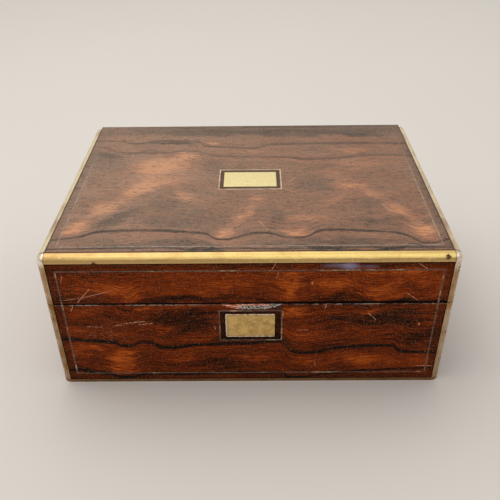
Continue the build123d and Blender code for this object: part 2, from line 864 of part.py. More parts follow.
def well_cap(x):
    """Turned cap with a broad bevel, and the knuckle that turns between the ears"""
    root_y = tray_y + collar_radius - collar_wall / 2
    with BuildPart() as cap:
        with BuildSketch(Plane(origin=(x, tray_y, cap_bottom), x_dir=(1, 0, 0), z_dir=(0, -1, 0))):
            with BuildLine():
                Polyline(
                    (0, 0),
                    (collar_radius, 0),
                    (collar_radius, cap_edge),
                    (cap_top_radius, cap_edge + cap_bevel_height),
                    (0, cap_edge + cap_bevel_height),
                    close=True,
                )
            make_face()
        revolve(axis=Axis((x, tray_y, 0), (0, 0, 1)))
        with BuildSketch(Plane.YZ.offset(x - cap_knuckle_half)):
            with Locations(((root_y + cap_axis_y) / 2, cap_bottom + cap_knuckle_radius / 2)):
                Rectangle(cap_axis_y - root_y, cap_knuckle_radius)
            with Locations((cap_axis_y, cap_axis_z)):
                Circle(cap_knuckle_radius)
        extrude(amount=2 * cap_knuckle_half)
        with BuildSketch(Plane.YZ.offset(x - cap_knuckle_half)):
            with Locations((cap_axis_y, cap_axis_z)):
                Circle(cap_pin_radius + pin_clearance)
        extrude(amount=2 * cap_knuckle_half, mode=Mode.SUBTRACT)
    return cap


for side, name in ((-1, "left"), (1, "right")):
    keep(glass_well(side * bay_x), f"inkwell_glass_{name}")
    keep(well_collar(side * bay_x), f"inkwell_collar_{name}")
    keep(well_cap(side * bay_x), f"inkwell_cap_{name}")

with BuildPart() as inkwell_pins:
    pin_half = cap_knuckle_half + cap_ear_gap + cap_ear_width
    for x in (-bay_x, bay_x):
        with BuildSketch(Plane.YZ.offset(x - pin_half)):
            with Locations((cap_axis_y, cap_axis_z)):
                Circle(cap_pin_radius)
        extrude(amount=2 * pin_half)
keep(inkwell_pins, "inkwell_pins")
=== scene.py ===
import json
import math
from dataclasses import dataclass
from functools import partial, reduce

import bmesh
import bpy
from mathutils import Matrix, Vector, noise

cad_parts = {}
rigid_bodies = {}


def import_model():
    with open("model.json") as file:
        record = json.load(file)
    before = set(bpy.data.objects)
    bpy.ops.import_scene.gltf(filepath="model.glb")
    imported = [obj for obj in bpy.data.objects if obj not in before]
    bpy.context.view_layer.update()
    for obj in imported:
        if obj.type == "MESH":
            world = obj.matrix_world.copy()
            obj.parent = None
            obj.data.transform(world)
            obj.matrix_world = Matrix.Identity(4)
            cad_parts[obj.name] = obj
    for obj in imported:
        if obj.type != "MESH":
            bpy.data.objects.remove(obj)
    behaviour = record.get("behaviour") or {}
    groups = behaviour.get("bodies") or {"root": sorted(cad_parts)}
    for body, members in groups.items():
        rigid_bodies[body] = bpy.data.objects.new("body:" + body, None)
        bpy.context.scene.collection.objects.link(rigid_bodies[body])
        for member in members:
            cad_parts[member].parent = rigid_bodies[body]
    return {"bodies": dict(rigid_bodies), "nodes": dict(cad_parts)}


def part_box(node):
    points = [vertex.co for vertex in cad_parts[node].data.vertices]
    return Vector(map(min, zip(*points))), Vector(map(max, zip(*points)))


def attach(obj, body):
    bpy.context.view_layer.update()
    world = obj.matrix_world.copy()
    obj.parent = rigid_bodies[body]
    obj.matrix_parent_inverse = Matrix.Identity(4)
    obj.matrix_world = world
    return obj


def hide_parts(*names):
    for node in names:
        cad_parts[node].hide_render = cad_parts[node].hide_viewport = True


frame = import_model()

bl_info = {
    "name": "Stationery Box",
    "version": (1, 0, 0),
    "blender": (4, 5, 0),
    "location": "3D View > Sidebar > Stationery Box",
    "description": "Dresses a brass-bound rosewood stationery box and its studio",
    "category": "Object",
}

MM = 0.001
WELD = 0.001 * MM
WAVE_SEED = 1157

# Sizes read from the frame, in metres

HALF_WIDTH, HALF_DEPTH, FOOT_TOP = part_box("foot_band")[1]
TOP_LOW, TOP_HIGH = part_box("lid_top_veneer")
HEIGHT = TOP_HIGH.z
EDGING = HALF_WIDTH - TOP_HIGH.x
BASE_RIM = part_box("base_front_veneer")[1].z
LID_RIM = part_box("lid_front_veneer")[0].z
LINE_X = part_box("lid_stringing")[1].x
PLATE_LOW, PLATE_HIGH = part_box("front_plate")
LID_PLATE_LOW, LID_PLATE_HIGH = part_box("lid_plate")
REPAIR_LOW, REPAIR_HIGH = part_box("rim_repair")


def srgb(red, green, blue):
    """A colour picked on a screen, 0 to 255, as the linear colour that Blender works in."""
    def linear(level):
        share = level / 255
        return share / 12.92 if share <= 0.04045 else ((share + 0.055) / 1.055) ** 2.4
    return (linear(red), linear(green), linear(blue), 1.0)


def colour_property(name, description, red, green, blue):
    """A colour that a user can change."""
    return bpy.props.FloatVectorProperty(
        name=name, description=description, default=srgb(red, green, blue), size=4,
        subtype="COLOR", min=0.0, max=1.0)


def share_property(name, description, default):
    """A share from 0 to 1 that a user can change."""
    return bpy.props.FloatProperty(
        name=name, description=description, default=default, min=0.0, max=1.0, subtype="FACTOR")


def length_property(name, description, millimetres):
    """A length that a user can change, shown in the scene's own unit."""
    return bpy.props.FloatProperty(
        name=name, description=description, default=millimetres * MM, min=0.0, unit="LENGTH",
        precision=5)


def level_property(name, description, default, unit="NONE"):
    """A strength that a user can change, without an upper limit."""
    return bpy.props.FloatProperty(
        name=name, description=description, default=default, min=0.0, unit=unit)


# Settings

class RosewoodSettings(bpy.types.PropertyGroup):
    """Colours and polish of the rosewood veneers."""
    deep: colour_property("Deep", "The darkest heartwood", 26, 10, 3)
    dark: colour_property("Dark", "Dark bands between the flames", 62, 26, 8)
    middle: colour_property("Middle", "The common colour of the sheet", 110, 42, 9)
    warm: colour_property("Warm", "Lighter bands", 150, 62, 14)
    flame: colour_property("Flame", "Orange flames", 196, 95, 28)
    vein: colour_property("Vein", "Ink-dark veins", 22, 17, 12)
    # Bloom is faded polish, and it also paints in the pale sheen of light that the top's polish
    # reflects.
    bloom_and_painted_sheen: colour_property("Bloom", "Dry, faded polish on the top", 168, 136, 110)
    bloom_and_painted_sheen_amount: share_property("Bloom amount", "How far the top's polish has faded", 0.43)
    arris: colour_property("Arris", "Rubbed edges along the seam", 172, 152, 136)
    scratch: colour_property("Scratch", "Old scratches and flecks", 214, 158, 124)
    dust: colour_property("Dust", "Fine pale specks in the polish", 176, 156, 140)
    # Glare is a painted reflection: a bright window's bluish glare painted into the front's polish.
    glare: colour_property("Glare", "Milky bluish patch in the polish", 158, 148, 172)
    # Grime in the seam is black wax and also painted shadow along the joint.
    grime: colour_property("Grime", "Black wax and dirt in the seam", 10, 6, 5)


class BrassSettings(bpy.types.PropertyGroup):
    """Colours of the brass in its several states."""
    edging: colour_property("Edging", "Brass of the edge strips", 246, 221, 143)
    tarnish: colour_property("Tarnish", "Brown tarnish on the strips", 150, 112, 82)
    # The worn strip colour is partly tarnish and partly painted shade for the dim room that the
    # strip's lower curve reflects.
    strip_foot_tarnish_and_painted_shade: colour_property("Worn strip", "Tarnished foot of the front strip", 202, 168, 112)
    left_edging: colour_property("Left edging", "Pale brass of the lid's left side", 250, 236, 200)
    right_edging: colour_property("Right edging", "Grey brass of the lid's right side", 250, 232, 200)
    # The uprights' pale colour at the ball ends is partly rubbed brass and partly a painted
    # highlight.
    upright: colour_property("Uprights", "Rubbed brass of the corners' ends", 250, 240, 220)
    upright_dull: colour_property("Dull uprights", "Brown brass of the corners", 160, 122, 82)
    upright_gold: colour_property("Golden upright", "Golden brown of the base's left corners",
                                  138, 98, 46)
    foot: colour_property("Foot band", "Dull brass round the foot", 150, 114, 76)
    grime: colour_property("Grime", "Dirt in the joints and on the pins", 48, 34, 26)
    line: colour_property("Lines", "Thin inlaid lines in the front", 100, 83, 68)
    top_line: colour_property("Top lines", "Thin inlaid lines in the top", 150, 134, 116)
    plate_line: colour_property("Plate line", "The rubbed line round the lid's plate", 212, 190, 146)
    lid_plate: colour_property("Lid plate", "The polished plate in the lid", 255, 244, 188)
    front_plate: colour_property("Front plate", "The dull plate in the front", 228, 194, 124)
    # The silvered rim is partly rubbed brass and partly a painted highlight on the plate's left side
    # and foot.
    silvered_and_painted_highlight: colour_property("Silvered rim", "Bright worn rim of the front plate", 232, 224, 206)
    fitting: colour_property("Fittings", "Hinges, lock and ink bottle caps", 205, 168, 96)
    steel: colour_property("Steel", "Screws and the lock's bolt", 150, 146, 138)
    pin_spacing: length_property("Pin spacing", "Distance between the edging's pins", 58.0)
    pin_radius: length_property("Pin radius", "Radius of a pin's filed head", 0.7)
    pin_rise: length_property("Pin rise", "How far a pin stands out of its strip", 0.03)
    slot_width: length_property("Slot width", "Width of the slot in a screw's head", 0.7)
    slot_depth: length_property("Slot depth", "Depth of the slot in a screw's head", 0.6)


class ClothSettings(bpy.types.PropertyGroup):
    """Colours and padding of the velvet and the baize."""
    velvet: colour_property("Velvet", "Velvet of the lid's padded panel", 38, 40, 92)
    lining: colour_property("Lining", "Velvet on the well's floor", 34, 36, 82)
    baize: colour_property("Baize", "Baize under the box", 34, 62, 44)
    braid: colour_property("Braid", "Gilt braid round the panel", 176, 140, 78)
    voxel: length_property("Voxel", "Size of a cell when the pad is remeshed", 3.0)
    swell: length_property("Swell", "The most that a point of the pad may move", 4.5)
    pressure: level_property("Pressure", "Air pressure that fills the pad", 4.0)
    braid_bead: length_property("Braid bead", "Width of one twist of the braid", 1.7)


class StageSettings(bpy.types.PropertyGroup):
    """The pale floor and the soft studio light."""
    floor: colour_property("Floor", "The plain pale floor", 216, 209, 199)
    sky: colour_property("Sky", "White surroundings above and behind", 250, 250, 252)
    key_power: level_property("Key power", "Power of the softbox overhead", 7.0, unit="POWER")
    front_dimming: share_property("Front dimming", "How bright the room is behind the camera", 0.35)
    back_strength: level_property("Back strength", "How bright the wall behind the box is", 1.05)
    backdrop_front: share_property("Backdrop front", "How pale the backdrop is behind the camera",
                                   0.6)
    front_shine: share_property("Front shine", "Extra brightness that the brass sees high in front",
                                0.8)
    left_strength: level_property("Left strength", "How bright the room is on the left", 1.15)
    right_strength: level_property("Right strength", "How bright the room is on the right", 0.75)


class BoxSettings(bpy.types.PropertyGroup):
    """Every setting of the stationery box."""
    rosewood: bpy.props.PointerProperty(
        type=RosewoodSettings, name="Rosewood", description="Veneer colours")
    brass: bpy.props.PointerProperty(
        type=BrassSettings, name="Brass", description="Brass colours and pins")
    cloth: bpy.props.PointerProperty(
        type=ClothSettings, name="Cloth", description="Velvet, baize and padding")
    stage: bpy.props.PointerProperty(
        type=StageSettings, name="Stage", description="Floor and light")


def settings():
    """The box's settings in this scene."""
    return bpy.context.scene.stationery_box


# Shader trees

class Recipe:
    """Builds one node tree: each call adds a node and gives back its result."""

    def __init__(self, tree):
        self.tree = tree

    def add(self, kind, feeds=(), result=0, **choices):
        """A node with its choices made and its sockets fed by place or by name."""
        node = self.tree.nodes.new(kind if "Node" in kind else "ShaderNode" + kind)
        for name, value in choices.items():
            setattr(node, name, value)
        pairs = feeds.items() if isinstance(feeds, dict) else enumerate(feeds)
        for socket, value in pairs:
            self.feed(node.inputs[socket], value)
        return node.outputs[result]

    def feed(self, socket, value):
        """Links another node's result to a socket, or writes a plain value there."""
        if isinstance(value, bpy.types.NodeSocket):
            self.tree.links.new(value, socket)
        else:
            socket.default_value = value

    def math(self, operation, *values, clamp=False):
        """One arithmetic operation."""
        return self.add("Math", values, operation=operation, use_clamp=clamp)

    def total(self, *values):
        """The sum of several values."""
        return reduce(partial(self.math, "ADD"), values)

    def product(self, *values):
        """The product of several values."""
        return reduce(partial(self.math, "MULTIPLY"), values)

    def highest(self, *values):
        """The largest of several values."""
        return reduce(partial(self.math, "MAXIMUM"), values)

    def lowest(self, *values):
        """The smallest of several values."""
        return reduce(partial(self.math, "MINIMUM"), values)

    def less(self, value, taken):
        """A value with another taken off."""
        return self.math("SUBTRACT", value, taken)

    def size(self, value):
        """A value without its sign."""
        return self.math("ABSOLUTE", value)

    def vector(self, operation, *values, result=0):
        """One operation on vectors."""
        return self.add("VectorMath", values, result=result, operation=operation)

    def step(self, value, start, end, low=0.0, high=1.0):
        """A smooth rise from low to high while the value goes from start to end."""
        return self.add("MapRange", (value, start, end, low, high), interpolation_type="SMOOTHSTEP")

    def line(self, value, start, end, low=0.0, high=1.0):
        """A straight rise from low to high while the value goes from start to end."""
        return self.add("MapRange", (value, start, end, low, high))

    def blend(self, factor, first, second, mode="MIX"):
        """One colour laid over another."""
        return self.add("Mix", {0: factor, 6: first, 7: second}, result=2,
                        data_type="RGBA", blend_type=mode)

    def ramp(self, factor, *stops):
        """A colour ramp through (place, colour) stops."""
        node = self.tree.nodes.new("ShaderNodeValToRGB")
        elements = node.color_ramp.elements
        while len(elements) < len(stops):
            elements.new(0.5)
        for element, (place, colour) in zip(elements, stops):
            element.position = place
            element.color = colour
        self.feed(node.inputs[0], factor)
        return node.outputs[0]

    def curve(self, value, points):
        """A smooth line through (place, height) points, read at a value."""
        low_place, low_height = (min(axis) for axis in zip(*points))
        high_place, high_height = (max(axis) for axis in zip(*points))
        node = self.tree.nodes.new("ShaderNodeFloatCurve")
        dots = node.mapping.curves[0].points
        spots = [((place - low_place) / (high_place - low_place),
                  (height - low_height) / (high_height - low_height)) for place, height in points]
        dots[0].location = spots[0]
        dots[1].location = spots[-1]
        for spot in spots[1:-1]:
            dots.new(*spot)
        node.mapping.update()
        self.feed(node.inputs["Value"], self.line(value, low_place, high_place))
        return self.math("MULTIPLY_ADD", node.outputs[0], high_height - low_height, low_height)

    def place(self):
        """Where a point of the piece lies, in millimetres."""
        spot = self.add("TexCoord", result="Object")
        return self.add("VectorMath", {0: spot, "Scale": 1 / MM}, operation="SCALE")

    def apart(self, vector):
        """The three parts of a vector."""
        node = self.tree.nodes.new("ShaderNodeSeparateXYZ")
        self.feed(node.inputs[0], vector)
        return node.outputs[:3]

    def together(self, *parts):
        """A vector from its three parts."""
        return self.add("CombineXYZ", parts)

    def marks(self, place, size, detail=2.0, roughness=0.5, distortion=0.0):
        """Noise whose marks are about size millimetres long, on each axis or on all."""
        lengths = size if isinstance(size, tuple) else (size, size, size)
        scaled = self.vector("MULTIPLY", place, tuple(1 / length for length in lengths))
        return self.add("TexNoise", {"Vector": scaled, "Scale": 1.0, "Detail": detail,
                                     "Roughness": roughness, "Distortion": distortion})

    def centred(self, value, amount):
        """Noise from 0 to 1 turned into a swing of about amount to either side of 0."""
        return self.math("MULTIPLY_ADD", value, 2 * amount, -amount)

    def follow(self, along, across, guides):
        """The across place straightened, so that marks drawn on it run with the guide lines."""
        lines = [(self.curve(along, guide.points), guide.rest) for guide in guides]
        lowest, rest = lines[0]
        straight = self.total(rest, self.lowest(self.less(across, lowest), 0.0))
        for (low, low_rest), (high, high_rest) in zip(lines, lines[1:]):
            straight = self.total(straight, self.line(across, low, high, 0.0, high_rest - low_rest))
        return self.total(straight, self.highest(self.less(across, lines[-1][0]), 0.0))

    def group(self, tree, **feeds):
        """A node group with its inputs fed by name."""
        node = self.tree.nodes.new("ShaderNodeGroup")
        node.node_tree = tree
        for name, value in feeds.items():
            self.feed(node.inputs[name.replace("_", " ").capitalize()], value)
        return node.outputs[0]

    def bump(self, height, distance):
        """A bumped normal, the distance in millimetres."""
        return self.add("Bump", {"Strength": 1.0, "Distance": distance * MM, "Height": height})


def blank_material(name):
    """An empty material with its recipe and its shader node."""
    material = bpy.data.materials.new(name)
    material.use_nodes = True
    tree = material.node_tree
    tree.nodes.clear()
    output = tree.nodes.new("ShaderNodeOutputMaterial")
    shader = tree.nodes.new("ShaderNodeBsdfPrincipled")
    tree.links.new(shader.outputs[0], output.inputs[0])
    return material, Recipe(tree), shader


def coat(recipe, shader, finish):
    """Feeds a shader's sockets by name."""
    for socket, value in finish.items():
        recipe.feed(shader.inputs[socket], value)


def group_tree(name, inputs, family="ShaderNodeTree", output=("Mask", "Float")):
    """An empty node group with named inputs, its recipe and what it is given."""
    tree = bpy.data.node_groups.new(name, family)
    for title, kind in inputs:
        tree.interface.new_socket(title, in_out="INPUT", socket_type="NodeSocket" + kind)
    title, kind = output
    tree.interface.new_socket(title, in_out="OUTPUT", socket_type="NodeSocket" + kind)
    return tree, Recipe(tree), tree.nodes.new("NodeGroupInput").outputs


def close_group(recipe, result):
    """Sends a group's result out."""
    recipe.tree.links.new(result, recipe.tree.nodes.new("NodeGroupOutput").inputs[0])


def geometry_tree(name, *sizes):
    """An empty geometry group that is given points or a path, sizes and a material."""
    inputs = (("Geometry", "Geometry"), *((size, "Float") for size in sizes),
              ("Material", "Material"))
    return group_tree(name, inputs, "GeometryNodeTree", ("Geometry", "Geometry"))


def aimed(recipe):
    """The turn that points an instance the way its point faces."""
    facing = recipe.add("GeometryNodeInputNamedAttribute", {"Name": "facing"},
                        result="Attribute", data_type="FLOAT_VECTOR")
    return recipe.add("FunctionNodeAlignRotationToVector", {"Vector": facing}, axis="Z")


def lowered(recipe, mesh, depth):
    """A mesh moved down by a depth."""
    down = recipe.together(0.0, 0.0, recipe.product(depth, -1.0))
    return recipe.add("GeometryNodeTransform", {"Geometry": mesh, "Translation": down})


def close_geometry(recipe, instances, material, smooth=False):
    """Makes a group's instances real, paints them and sends them out."""
    real = recipe.add("GeometryNodeRealizeInstances", (instances,))
    if smooth:
        real = recipe.add("GeometryNodeSetShadeSmooth", {"Geometry": real})
    close_group(recipe, recipe.add("GeometryNodeSetMaterial",
                                   {"Geometry": real, "Material": material}))


def spot_tree():
    """A soft oval spot: 1 in its middle, 0 outside, its edge ruffled by the grain."""
    tree, recipe, given = group_tree("soft spot", (
        ("Place", "Vector"), ("Centre", "Vector"), ("Half size", "Vector"),
        ("Turn", "Float"), ("Ruffle", "Float")))
    offset = recipe.vector("SUBTRACT", given["Place"], given["Centre"])
    back = recipe.product(given["Turn"], -1.0)
    turned = recipe.add("VectorRotate", {"Vector": offset, "Angle": back}, rotation_type="Z_AXIS")
    scaled = recipe.vector("DIVIDE", turned, given["Half size"])
    reach = recipe.vector("LENGTH", scaled, result="Value")
    close_group(recipe, recipe.step(recipe.total(reach, given["Ruffle"]), 1.0, 0.1))
    return tree


def stroke_tree():
    """A thin straight stroke between two places."""
    tree, recipe, given = group_tree("stroke", (
        ("Place", "Vector"), ("Start", "Vector"), ("End", "Vector"), ("Thickness", "Float")))
    span = recipe.vector("SUBTRACT", given["End"], given["Start"])
    offset = recipe.vector("SUBTRACT", given["Place"], given["Start"])
    reach = recipe.vector("DOT_PRODUCT", offset, span, result="Value")
    whole = recipe.vector("DOT_PRODUCT", span, span, result="Value")
    share = recipe.math("DIVIDE", reach, whole, clamp=True)
    nearest = recipe.add("VectorMath", {0: span, "Scale": share}, operation="SCALE")
    gap = recipe.vector("DISTANCE", offset, nearest, result="Value")
    edge = recipe.product(given["Thickness"], 0.3)
    close_group(recipe, recipe.step(gap, given["Thickness"], edge))
    return tree


# The figure of the rosewood sheets, in millimetres on the box

LID_BAND = (3.2, 3.75)
FRONT_BAND = (3.7, 2.5)


def band_round(low, high, band):
    """The two sides, the foot and the head of the wood between a plate and its line."""
    across, up = band
    return (low[0] / MM - across, high[0] / MM + across, low[1] / MM - up, high[1] / MM + up)


@dataclass
class Guide:
    """A growth line that the grain runs along, and the vein that marks it."""
    points: tuple
    rest: float
    ink: float = 0.0
    thickness: float = 0.6
    shade: float = 3.0


@dataclass
class Sheet:
    """One sheet of veneer. Spots are (along, across, length, breadth, turn, strength)."""
    axes: tuple
    guides: tuple
    glows: tuple = ()
    shades: tuple = ()
    knots: tuple = ()
    strokes: tuple = ()
    flecks: tuple = ()
    border: tuple = ()
    edges: tuple = ()
    panel: tuple = ()
    glare: tuple = ()
    soot: tuple = ()
    contrast: float = 1.0
    lift: float = 0.8
    drop: float = 0.85
    comb: float = 18.0
    ruffle: float = 0.5
    crisp: float = 0.45


TOP_SHEET = Sheet(
    axes=(0, 1, 2),
    guides=(
        Guide(((-153, -102), (-60, -101), (-40, -103.5), (-20, -101.5), (20, -103), (80, -102),
               (153, -103)), -102, ink=0.75, thickness=1.3, shade=1.5),
        Guide(((-153, -92), (-138, -89), (-124, -85.4), (-112, -79.4), (-92, -77.8), (-68, -78),
               (-48, -80), (-34, -82), (-26, -88.4), (-19, -90.8), (-12, -89.4), (-2, -84.4),
               (8, -82), (18, -83.4), (28, -88.4), (36, -88.8), (45, -85.4), (52, -80),
               (60, -78), (80, -79.4), (102, -81.4), (116, -86.4), (122, -93.4), (130, -97.4),
               (138, -95.4), (153, -86)), -83, ink=0.9, thickness=1.7, shade=3.5),
        Guide(((-153, 69), (-136, 66), (-122, 56), (-100, 53.2), (-76, 53), (-64, 56.5),
               (-52, 56.5), (-41, 51.5), (-30, 46.5), (-18, 45), (2, 43.4), (26, 42.8),
               (38, 41), (50, 38.2), (64, 38.3), (78, 39.6), (92, 42.6), (108, 45.6),
               (128, 45.2), (153, 40)), 45, ink=0.62, thickness=1.7, shade=5.0),
        Guide(((-153, 79), (-126, 79), (-115, 75), (-105, 72.8), (-97, 75.4), (-82, 79),
               (-62, 78.4), (-51, 77), (-45, 71.5), (-40, 65.5), (-18, 63), (-2, 61), (10, 64),
               (23, 69.6), (44, 70.3), (66, 71), (108, 70.6), (153, 69)), 70, ink=0.85,
              thickness=2.1, shade=5.0),
    ),
    glows=(
        (-78, 27, 80, 52, 12, 0.62), (-56, 47, 34, 20, -10, 0.5), (-92, -16, 56, 30, 48, 0.5),
        (-78, -2, 90, 44, 10, 0.3), (70, 4, 60, 40, 0, 0.14),
        (-114, -46, 56, 26, 50, 0.5), (-130, -74, 34, 30, 40, 0.5), (-52, -28, 40, 16, -52, 0.38),
        (5, -31, 20, 16, 0, 0.3), (-4, -56, 52, 17, 62, 0.36), (-18, -82, 26, 16, 20, 0.52),
        (86, -12, 44, 30, 0, 0.36), (102, -27, 34, 16, -45, 0.28), (117, -52, 48, 21, -58, 0.34),
        (131, -80, 30, 36, 0, 0.48), (68, -34, 46, 15, 40, 0.22), (34, -80, 36, 16, 0, 0.42),
        (44, -62, 60, 16, 12, 0.25), (-34, 70, 18, 9, -15, 0.5), (0, 54, 56, 9, 0, 0.25),
        (96, 28, 84, 26, 0, 0.18), (92, 57, 70, 12, 0, 0.22), (-18, -94, 40, 8, 0, 0.25),
    ),
    # Most shades are dark figure; the wide bands along the back edge, across 106 and 96, are painted
    # shade that darkens the top toward the back.
    shades=(
        (-72, 73, 62, 13, 0, 0.9), (-128, 48, 46, 20, 0, 0.35), (0, 106, 460, 50, 0, 0.5),
        (-128, 34, 50, 44, 0, 0.22), (-30, 22, 34, 52, 12, 0.15), (-66, -38, 44, 30, 0, 0.2),
        (-103, -62, 72, 18, 44, 0.55), (-54, -62, 100, 40, 0, 0.2), (94, -42, 44, 24, 0, 0.12),
        (98, -66, 56, 24, 0, 0.2), (22, -62, 28, 26, 60, 0.2), (-100, 57, 60, 8, 0, 0.3),
        (-70, -96, 150, 14, 0, 0.25), (60, -94, 150, 12, 0, 0.2), (0, 96, 320, 20, 0, 0.25),
        (-36, -103, 60, 6, 0, 0.9), (84, -103, 150, 7, 0, 1.2), (56, -6, 50, 40, 0, 0.2),
        (-148, 0, 18, 230, 0, 0.25), (149, 0, 16, 230, 0, 0.4), (100, 92, 110, 16, 0, 0.3),
        (70, 24, 60, 10, 0, 0.15), (-6, 20, 20, 40, 0, 0.15),
    ),
    knots=((-71.5, -9.5, 9, 7, 0, 0.45), (90, -13, 6, 9, 20, 0.5), (13.6, -39.4, 5, 4, 30, 0.7),
           (-68, 15.5, 6, 3, 0, 0.5), (80, 68.5, 3.5, 4, 0, 0.6), (-60, 99, 4, 2, 0, 0.4),
           (-106, 82, 5, 3, 0, 0.45)),
    strokes=((8, -66, 14, -78, 0.22), (105, -41, 110, -52, 0.2), (33, -3, 40, 4, 0.2),
             (28, -14, 36, -21, 0.2)),
    border=(LINE_X / MM, -200.0, 99.0),
    edges=(TOP_HIGH.x / MM, TOP_LOW.y / MM, 200.0),
    panel=band_round(LID_PLATE_LOW.xy, LID_PLATE_HIGH.xy, LID_BAND),
    soot=((84, -103.5, 150, 6, 0, 0.65), (-28, -103.5, 56, 4.5, 0, 0.5),
          (-72, 73, 58, 8, 0, 0.3), (20, 110, 320, 6, 0, 0.4), (-128, 47, 40, 12, 0, 0.15)),
    contrast=0.62,
    lift=1.15,
    drop=1.2,
    comb=9.0,
    ruffle=0.35,
    crisp=0.05,
)

FRONT_SHEET = Sheet(
    axes=(0, 2, 1),
    guides=(
        Guide(((-153, 13), (-138, 13.4), (-126, 10.4), (-112, 8.4), (-102, 5), (-90, 6.4),
               (-82, 8.8), (-68, 8.4), (-52, 8), (-40, 9), (-2, 10), (14, 9), (22, 9.4),
               (29, 5.4), (40, 4.4), (52, 6.4), (64, 8.4), (80, 10.4), (98, 12), (118, 13.4),
               (153, 14.4)), 9, ink=1.0, thickness=1.6, shade=2.5),
        Guide(((-153, 47), (-138, 46.8), (-128, 45.4), (-112, 44), (-104, 42.8), (-98, 39.6),
               (-90, 40.4), (-84, 43), (-76, 42), (-68, 37.4), (-62, 37), (-52, 38.8),
               (-40, 40), (-20, 40.8), (0, 41.5), (22, 43.4), (28, 38.4), (34, 32.4), (42, 31),
               (52, 31.8), (60, 34.4), (72, 36.4), (84, 38), (108, 38.4), (114, 34.4),
               (122, 31.4), (153, 30.4)), 40, ink=1.0, thickness=2.0, shade=6.0),
        Guide(((-153, 84), (-120, 84), (-106, 82), (-97, 77), (-92, 74.5), (-87, 77), (-78, 82),
               (-60, 85), (-30, 87), (-10, 87), (5, 85.5), (18, 82), (30, 78), (42, 79), (56, 82),
               (72, 83), (82, 80), (92, 76), (100, 79), (110, 83), (153, 84)), 84, ink=0.5,
              thickness=0.9, shade=3.0),
        Guide(((-153, 118), (-92, 116), (-60, 118), (0, 119), (32, 114), (60, 118), (92, 116),
               (153, 118)), 118, ink=0.0),
    ),
    glows=(
        (0, 102, 420, 52, 0, 0.2), (-94, 91, 40, 26, 0, 0.36), (-112, 99, 70, 18, 0, 0.16),
        (101, 93, 46, 18, 0, 0.34), (103, 108, 60, 14, 0, 0.18), (137, 100, 28, 40, 0, 0.16),
        (-135, 54, 38, 24, 0, 0.24), (-101, 53, 36, 16, 0, 0.16), (135, 30, 34, 22, 0, 0.2),
        (112, 20, 90, 32, 0, 0.14), (0, 91, 36, 16, 0, 0.15), (-34, 13, 44, 14, 0, 0.12),
        (31, 97, 19, 44, 0, 0.42),
        (89, 87, 24, 13, 0, 0.55), (120, 102, 60, 22, 0, 0.22), (62, 100, 40, 22, 0, 0.2),
        (-124, 74, 36, 12, 0, 0.3), (-84, 77, 14, 7, 0, 0.5), (-102, 23, 34, 42, 0, 0.7),
        (-128, 36, 44, 14, 0, 0.4), (-56, 26, 40, 22, 0, 0.25), (33, 74, 26, 14, 0, 0.55),
        (40, 53, 44, 28, 0, 0.18), (86, 25, 64, 20, 0, 0.42), (45, 22, 36, 24, 0, 0.3),
        (-66, 56, 12, 20, 0, 0.3), (132, 22, 30, 14, 0, 0.25), (-18, 100, 60, 16, 0, 0.15),
        (5, 28, 50, 14, 0, 0.2), (92, 77, 26, 7, 0, 0.5),
    ),
    shades=(
        (-48, 86, 96, 12, 0, 0.36), (-46, 66, 66, 26, 0, 0.36), (8, 92, 34, 26, -30, 0.2),
        (62, 88, 34, 12, 0, 0.3), (112, 84, 28, 9, 0, 0.35), (98, 66, 104, 20, 0, 0.5),
        (-24, 20, 110, 16, 0, 0.25), (20, 45, 30, 16, 0, 0.3), (-132, 15, 30, 12, 0, 0.2),
        (-10, 46, 60, 10, 0, 0.3), (8, 117, 320, 5, 0, 0.25), (-135, 56, 30, 20, 0, 0.12),
        (128, 47, 60, 14, 0, 0.35), (0, 3, 320, 8, 0, 0.1), (-110, 106, 60, 8, 0, 0.15),
        (-138, 98, 26, 56, 0, 0.15),
        (116, 95, 60, 5, 0, 0.2),
    ),
    knots=((-96, 78.5, 14, 3, -45, 0.8), (-80, 80.5, 14, 3, 35, 0.55), (86, 79, 12, 2.6, -40, 0.75),
           (99, 78.5, 12, 2.6, 38, 0.75), (64, 79, 20, 3, 22, 0.5), (16, 97, 34, 2.2, -32, 0.4),
           (10, 93, 34, 2.0, -32, 0.35), (19, 101, 30, 1.8, -36, 0.3), (4, 90, 30, 1.8, -30, 0.3)),
    strokes=((-117.4, 95.6, -124, 88, 0.35), (-124, 88, -128, 83, 0.3), (-131.5, 81, -134, 75, 0.35),
             (-138, 85.5, -126, 87, 0.2), (-126, 87, -104, 93.5, 0.25), (-135, 108, -137, 102, 0.2),
             (89, 71.5, 95, 65.2, 0.4), (57, 80, 56.4, 76.6, 0.35), (115, 91, 127, 81.5, 0.22),
             (128, 112, 121, 117, 0.2), (19, 118, 16, 112, 0.22), (21, 110, 19.5, 104, 0.2),
             (-27, 60, -26.4, 56, 0.3), (128.4, 61, 128.6, 59.4, 0.6), (45.6, 101, 45.8, 99.6, 0.7),
             (36, 55, 44, 55, 0.18), (84, 112, 92, 111, 0.2), (133, 16.4, 145, 16, 0.35),
             (51, 21, 51.6, 17, 0.2), (-80, 64.6, -96, 62.4, 0.45), (-98, 61, -104, 60, 0.3),
             (-74, 62.6, -84, 61.4, 0.4), (-124, 59.6, -116, 59, 0.2),
             (24.6, 73.2, 25.2, 69.8, 0.8), (25.2, 69.8, 23.8, 66.4, 0.6)),
    flecks=((-112, 52, 60, 34, 0, 1.0), (-92, 62, 50, 12, 0, 1.0), (100, 68, 110, 30, 0, 0.4),
            (-120, 92, 60, 30, 0, 0.5)),
    border=(LINE_X / MM, 9.0, 112.0),
    edges=(TOP_HIGH.x / MM, FOOT_TOP / MM, (HEIGHT - EDGING) / MM),
    panel=band_round(PLATE_LOW.xz, PLATE_HIGH.xz, FRONT_BAND),
    glare=((72, 115.6, 20, 9, 0, 0.8), (62, 116, 26, 6, 0, 0.35), (86, 115, 18, 5, 0, 0.25)),
    contrast=0.72,
    lift=0.86,
)

